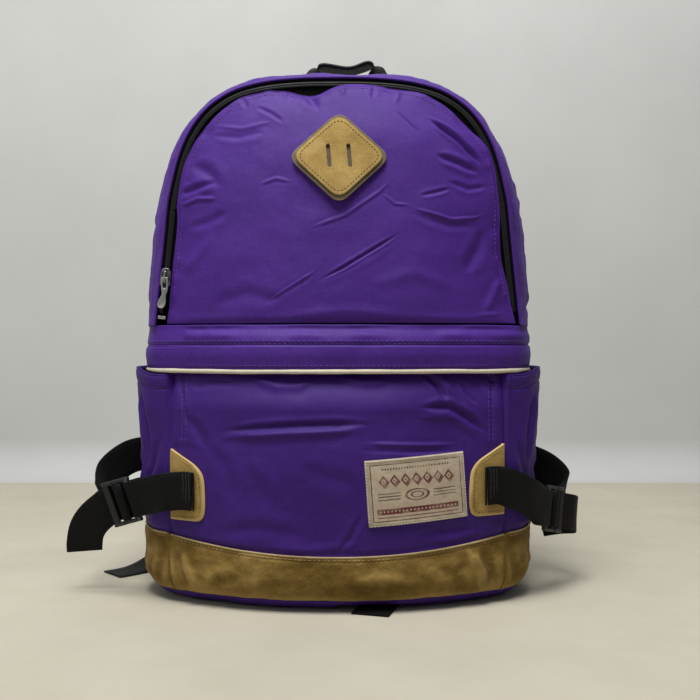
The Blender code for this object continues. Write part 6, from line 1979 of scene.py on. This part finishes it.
bk_ = plate("lash_patch_base", dense(diamond(40.5, 39.5, 10)), [], plp, 3.2, 5.3, BACKING, "front_panel", 0.55, EDGE, 3)
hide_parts("lash_patch_backing")


def patch_top(name, a, b, r, h0, h1):
    """Suede face: a plate cut to the rounded diamond, with the two slots as holes, gently domed."""
    o_ = dense(diamond(a, b, r, 8), 1.6)
    ob_ = plate(name, o_, [slot_loop(-8), slot_loop(8)], plp, h0, h1, LEATHER_P, None, 0.45, EDGE, 3)
    return ob_


pt = patch_top("lash_patch_face", 37, 36, 10, 5.35, 7.3)
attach(pt, "front_panel")
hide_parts("lash_patch")
dl = dense(diamond(33.4, 32.4, 9, 8), 1.0)
dl = dl + [dl[0]]
stitches("lash_patch_stitches", [(np.array([tuple(plp(u, v, 7.35)) for u, v in dl]), tuple(pnn))], TH_DARK, "front_panel", 2.1, 0.8, 0.34)
# pressed lines beside the slots
for k, loop_ in enumerate((slot_loop(-8), slot_loop(8))):
    c = (-8, 8)[k]
    lp_ = [((u - c) * 1.75 + c, v * 1.17) for u, v in loop_]
    lp_ = lp_ + [lp_[0]]
    tube("lash_slot_rim_%d" % k, [tuple(plp(u, v, 7.22)) for u, v in dense(lp_, 0.8)], 0.22, EDGE, "front_panel", 6)

# ---- woven label ------------------------------------------------------------------------------
LC, ANG = (61.0, 95.5), math.radians(4.2)
NU_, NV_ = 309, 205
u = np.linspace(-38.4, 38.4, NU_)
v = np.linspace(-25.4, 25.4, NV_)
UU, VV = np.meshgrid(u, v)
XX = LC[0] + UU * math.cos(ANG) - VV * math.sin(ANG)
ZZ = LC[1] + UU * math.sin(ANG) + VV * math.cos(ANG)
ed = np.minimum(38.4 - np.abs(UU), 25.4 - np.abs(VV))
HH = 1.55 + 0.28 * np.exp(-((ed - 1.6) / 1.0) ** 2) - 0.4 * np.exp(-(ed / 0.7) ** 2) + 0.16 * vnoise(UU / 9, VV / 9, 151) + 0.10 * vnoise(UU / 3, VV / 3, 152)
P = on_front(XX, ZZ, HH)
ink = np.zeros_like(UU)
red = np.zeros_like(UU)
jit = 0.14 * vnoise(UU / 1.1, VV / 1.1, 153)


def band_(x, a, b, s=0.22):
    return np.clip((x - a) / s + 0.5, 0, 1) * np.clip((b - x) / s + 0.5, 0, 1)


AU, AV = np.abs(UU + jit), np.abs(VV + jit)
frame_d = np.minimum(35.0 - AU, 22.0 - AV)
ink = np.maximum(ink, band_(frame_d, 0.0, 0.75))
# woven border twill between the frame and the edge
tw = 0.5 + 0.5 * np.sin((UU + VV * np.where(AU > 35, 1, -1)) * math.pi / 1.25)
ink = np.maximum(ink, 0.38 * tw * (frame_d < -0.5) * (ed > 0.6))
# top rule of small lozenges
for k in range(-12, 13):
    q = np.abs(UU - k * 2.1) / 0.95 + np.abs(VV - 18.0 - 0.0) / 1.15
    ink = np.maximum(ink, np.clip((1 - q) * 4, 0, 1))
# a row of seven large lozenges with a dropped shade
for k in range(-3, 4):
    cx, cz, hw, hh = k * 8.4, 9.2 - 0.05 * k * k, 4.0, 5.2
    q = np.abs(UU - cx - 0.9) / hw + np.abs(VV - cz + 0.9) / hh
    sh_ = np.clip((1 - q) * 6, 0, 1)
    q2 = np.abs(UU - cx) / hw + np.abs(VV - cz) / hh
    body_ = np.clip((1 - q2) * 6, 0, 1)
    core = np.clip((0.58 - q2) * 6, 0, 1)
    dot = np.clip((0.26 - q2) * 8, 0, 1)
    red = np.maximum(red, sh_ * (1 - body_))
    red = np.maximum(red, body_ * (1 - core))
    ink = np.maximum(ink, dot)
# rules each side of a plain oval
for zc in (-0.6, -2.9, -5.2):
    ink = np.maximum(ink, band_(VV + jit, zc - 0.42, zc + 0.42) * band_(AU, 12.5, 30.0))
qo = np.hypot(UU / 9.6, (VV + 3.0) / 4.6)
red = np.maximum(red, band_(qo, 0.80, 1.0, 0.07))
ink = np.maximum(ink, band_(qo, 0.40, 0.54, 0.07))
# bottom bar with pale lozenges
bar = band_(VV + jit, -16.6, -12.2) * (AU < 31.5)
loz = np.zeros_like(UU)
for k in range(-10, 11):
    loz = np.maximum(loz, np.clip((1 - (np.abs(UU - k * 2.9) / 0.9 + np.abs(VV + 14.4) / 1.0)) * 4, 0, 1))
red = np.maximum(red, bar * (1 - loz))
red = np.maximum(red, band_(VV + jit, -19.2, -18.5) * (AU < 31.5))
# wear: threads rubbed through here and there
rub = np.clip(0.92 + 0.4 * vnoise(UU / 5, VV / 4, 155), 0.65, 1.0)
lb = grid_cloth("woven_label_cloth", P[::-1], 0.8, LABEL, "bag", (0, 0, 100),
                extra={"ink": (ink * rub * (1 - red))[::-1], "red": (red * rub)[::-1]})
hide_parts("woven_label")
# overcast stitches round the label
runs = []
per = []
for k in range(64):
    per.append((lerp(-37.6, 37.6, k / 63), -24.6))
for k in range(1, 42):
    per.append((37.6, lerp(-24.6, 24.6, k / 41)))
for k in range(1, 64):
    per.append((lerp(37.6, -37.6, k / 63), 24.6))
for k in range(1, 42):
    per.append((-37.6, lerp(24.6, -24.6, k / 41)))
per = np.array(per)
cxz = lambda q: (LC[0] + q[:, 0] * math.cos(ANG) - q[:, 1] * math.sin(ANG), LC[1] + q[:, 0] * math.sin(ANG) + q[:, 1] * math.cos(ANG))
X_, Z_ = cxz(per)
line_ = on_front(X_, Z_, np.full(len(X_), 1.95))
stitches("woven_label_stitches", [(line_, (0, -1, 0))], TH_CREAM, "bag", 1.7, 0.6, 0.34)

# ---- floor, wall, light and camera ------------------------------------------------------------------
def stage_material(name, a, b, scale, bump):
    n = Nodes(name)
    co = n.obj()
    f_ = n.noise(co, scale, 5.0, 0.6)
    return n.finish(n.ramp(f_, [(0.3, a), (0.7, b)]), n.range(f_, 0.3, 0.7, 0.85, 0.7), n.bump(f_, bump, 0.3))


FLOOR = stage_material("floor_pale", (0.395, 0.367, 0.290), (0.45, 0.42, 0.338), 9.0, 0.0005)
WALL = stage_material("wall_pale", (0.435, 0.44, 0.425), (0.475, 0.48, 0.465), 4.0, 0.0005)


def stage_grid(name, pts, mat):
    m_ = bpy.data.meshes.new(name)
    w = 6.0
    vs = []
    for y, z in pts:
        vs += [(-w, y, z), (w, y, z)]
    m_.from_pydata(vs, [], [(2 * i, 2 * i + 1, 2 * i + 3, 2 * i + 2) for i in range(len(pts) - 1)])
    m_.materials.append(mat)
    o_ = bpy.data.objects.new(name, m_)
    scene.collection.objects.link(o_)
    m_.shade_smooth()
    return o_


stage_grid("stage_floor", [(-6.0, 0.0), (0.60, 0.0)], FLOOR)
sweep = [(0.60, 0.0)] + [(0.60 + 0.06 * math.sin(math.radians(a)), 0.06 - 0.06 * math.cos(math.radians(a))) for a in range(10, 91, 10)] + [(0.66, 4.0)]
stage_grid("stage_wall", sweep, WALL)

world = bpy.data.worlds.new("soft_studio")
scene.world = world
world.use_nodes = True
bg = world.node_tree.nodes["Background"]
bg.inputs["Color"].default_value = (0.86, 0.90, 1.0, 1.0)
bg.inputs["Strength"].default_value = 0.22


def area(name, loc, target, size, power, colour=(1, 1, 1), size_y=None):
    L = bpy.data.lights.new(name, "AREA")
    L.energy = power
    L.color = colour
    L.size = size
    if size_y:
        L.shape = "RECTANGLE"
        L.size_y = size_y
    o_ = bpy.data.objects.new(name, L)
    scene.collection.objects.link(o_)
    o_.location = loc
    o_.rotation_euler = (Vector(target) - Vector(loc)).to_track_quat("-Z", "Y").to_euler()
    return o_


area("key_top", (-0.15, -0.62, 1.75), (0.0, 0.0, 0.25), 0.7, 33.0, (1.0, 0.985, 0.96))
area("fill_left", (-1.5, -1.1, 1.0), (0, 0, 0.22), 1.2, 5.0, (0.93, 0.96, 1.0))
area("wall_wash", (0.0, -0.35, 2.1), (0.0, 0.66, 0.5), 1.6, 16.0, (0.97, 0.985, 1.0), 0.5)

cam = bpy.data.cameras.new("camera")
cam.lens = 48.8
cam.sensor_width = 36.0
cam.sensor_fit = "HORIZONTAL"
cam.clip_start = 0.02
co_ = bpy.data.objects.new("camera", cam)
scene.collection.objects.link(co_)
co_.location = (0.010, -0.815, 0.207)
co_.rotation_euler = (math.radians(90 - 0.36), 0, 0)
scene.camera = co_
scene.view_settings.view_transform = "Standard"
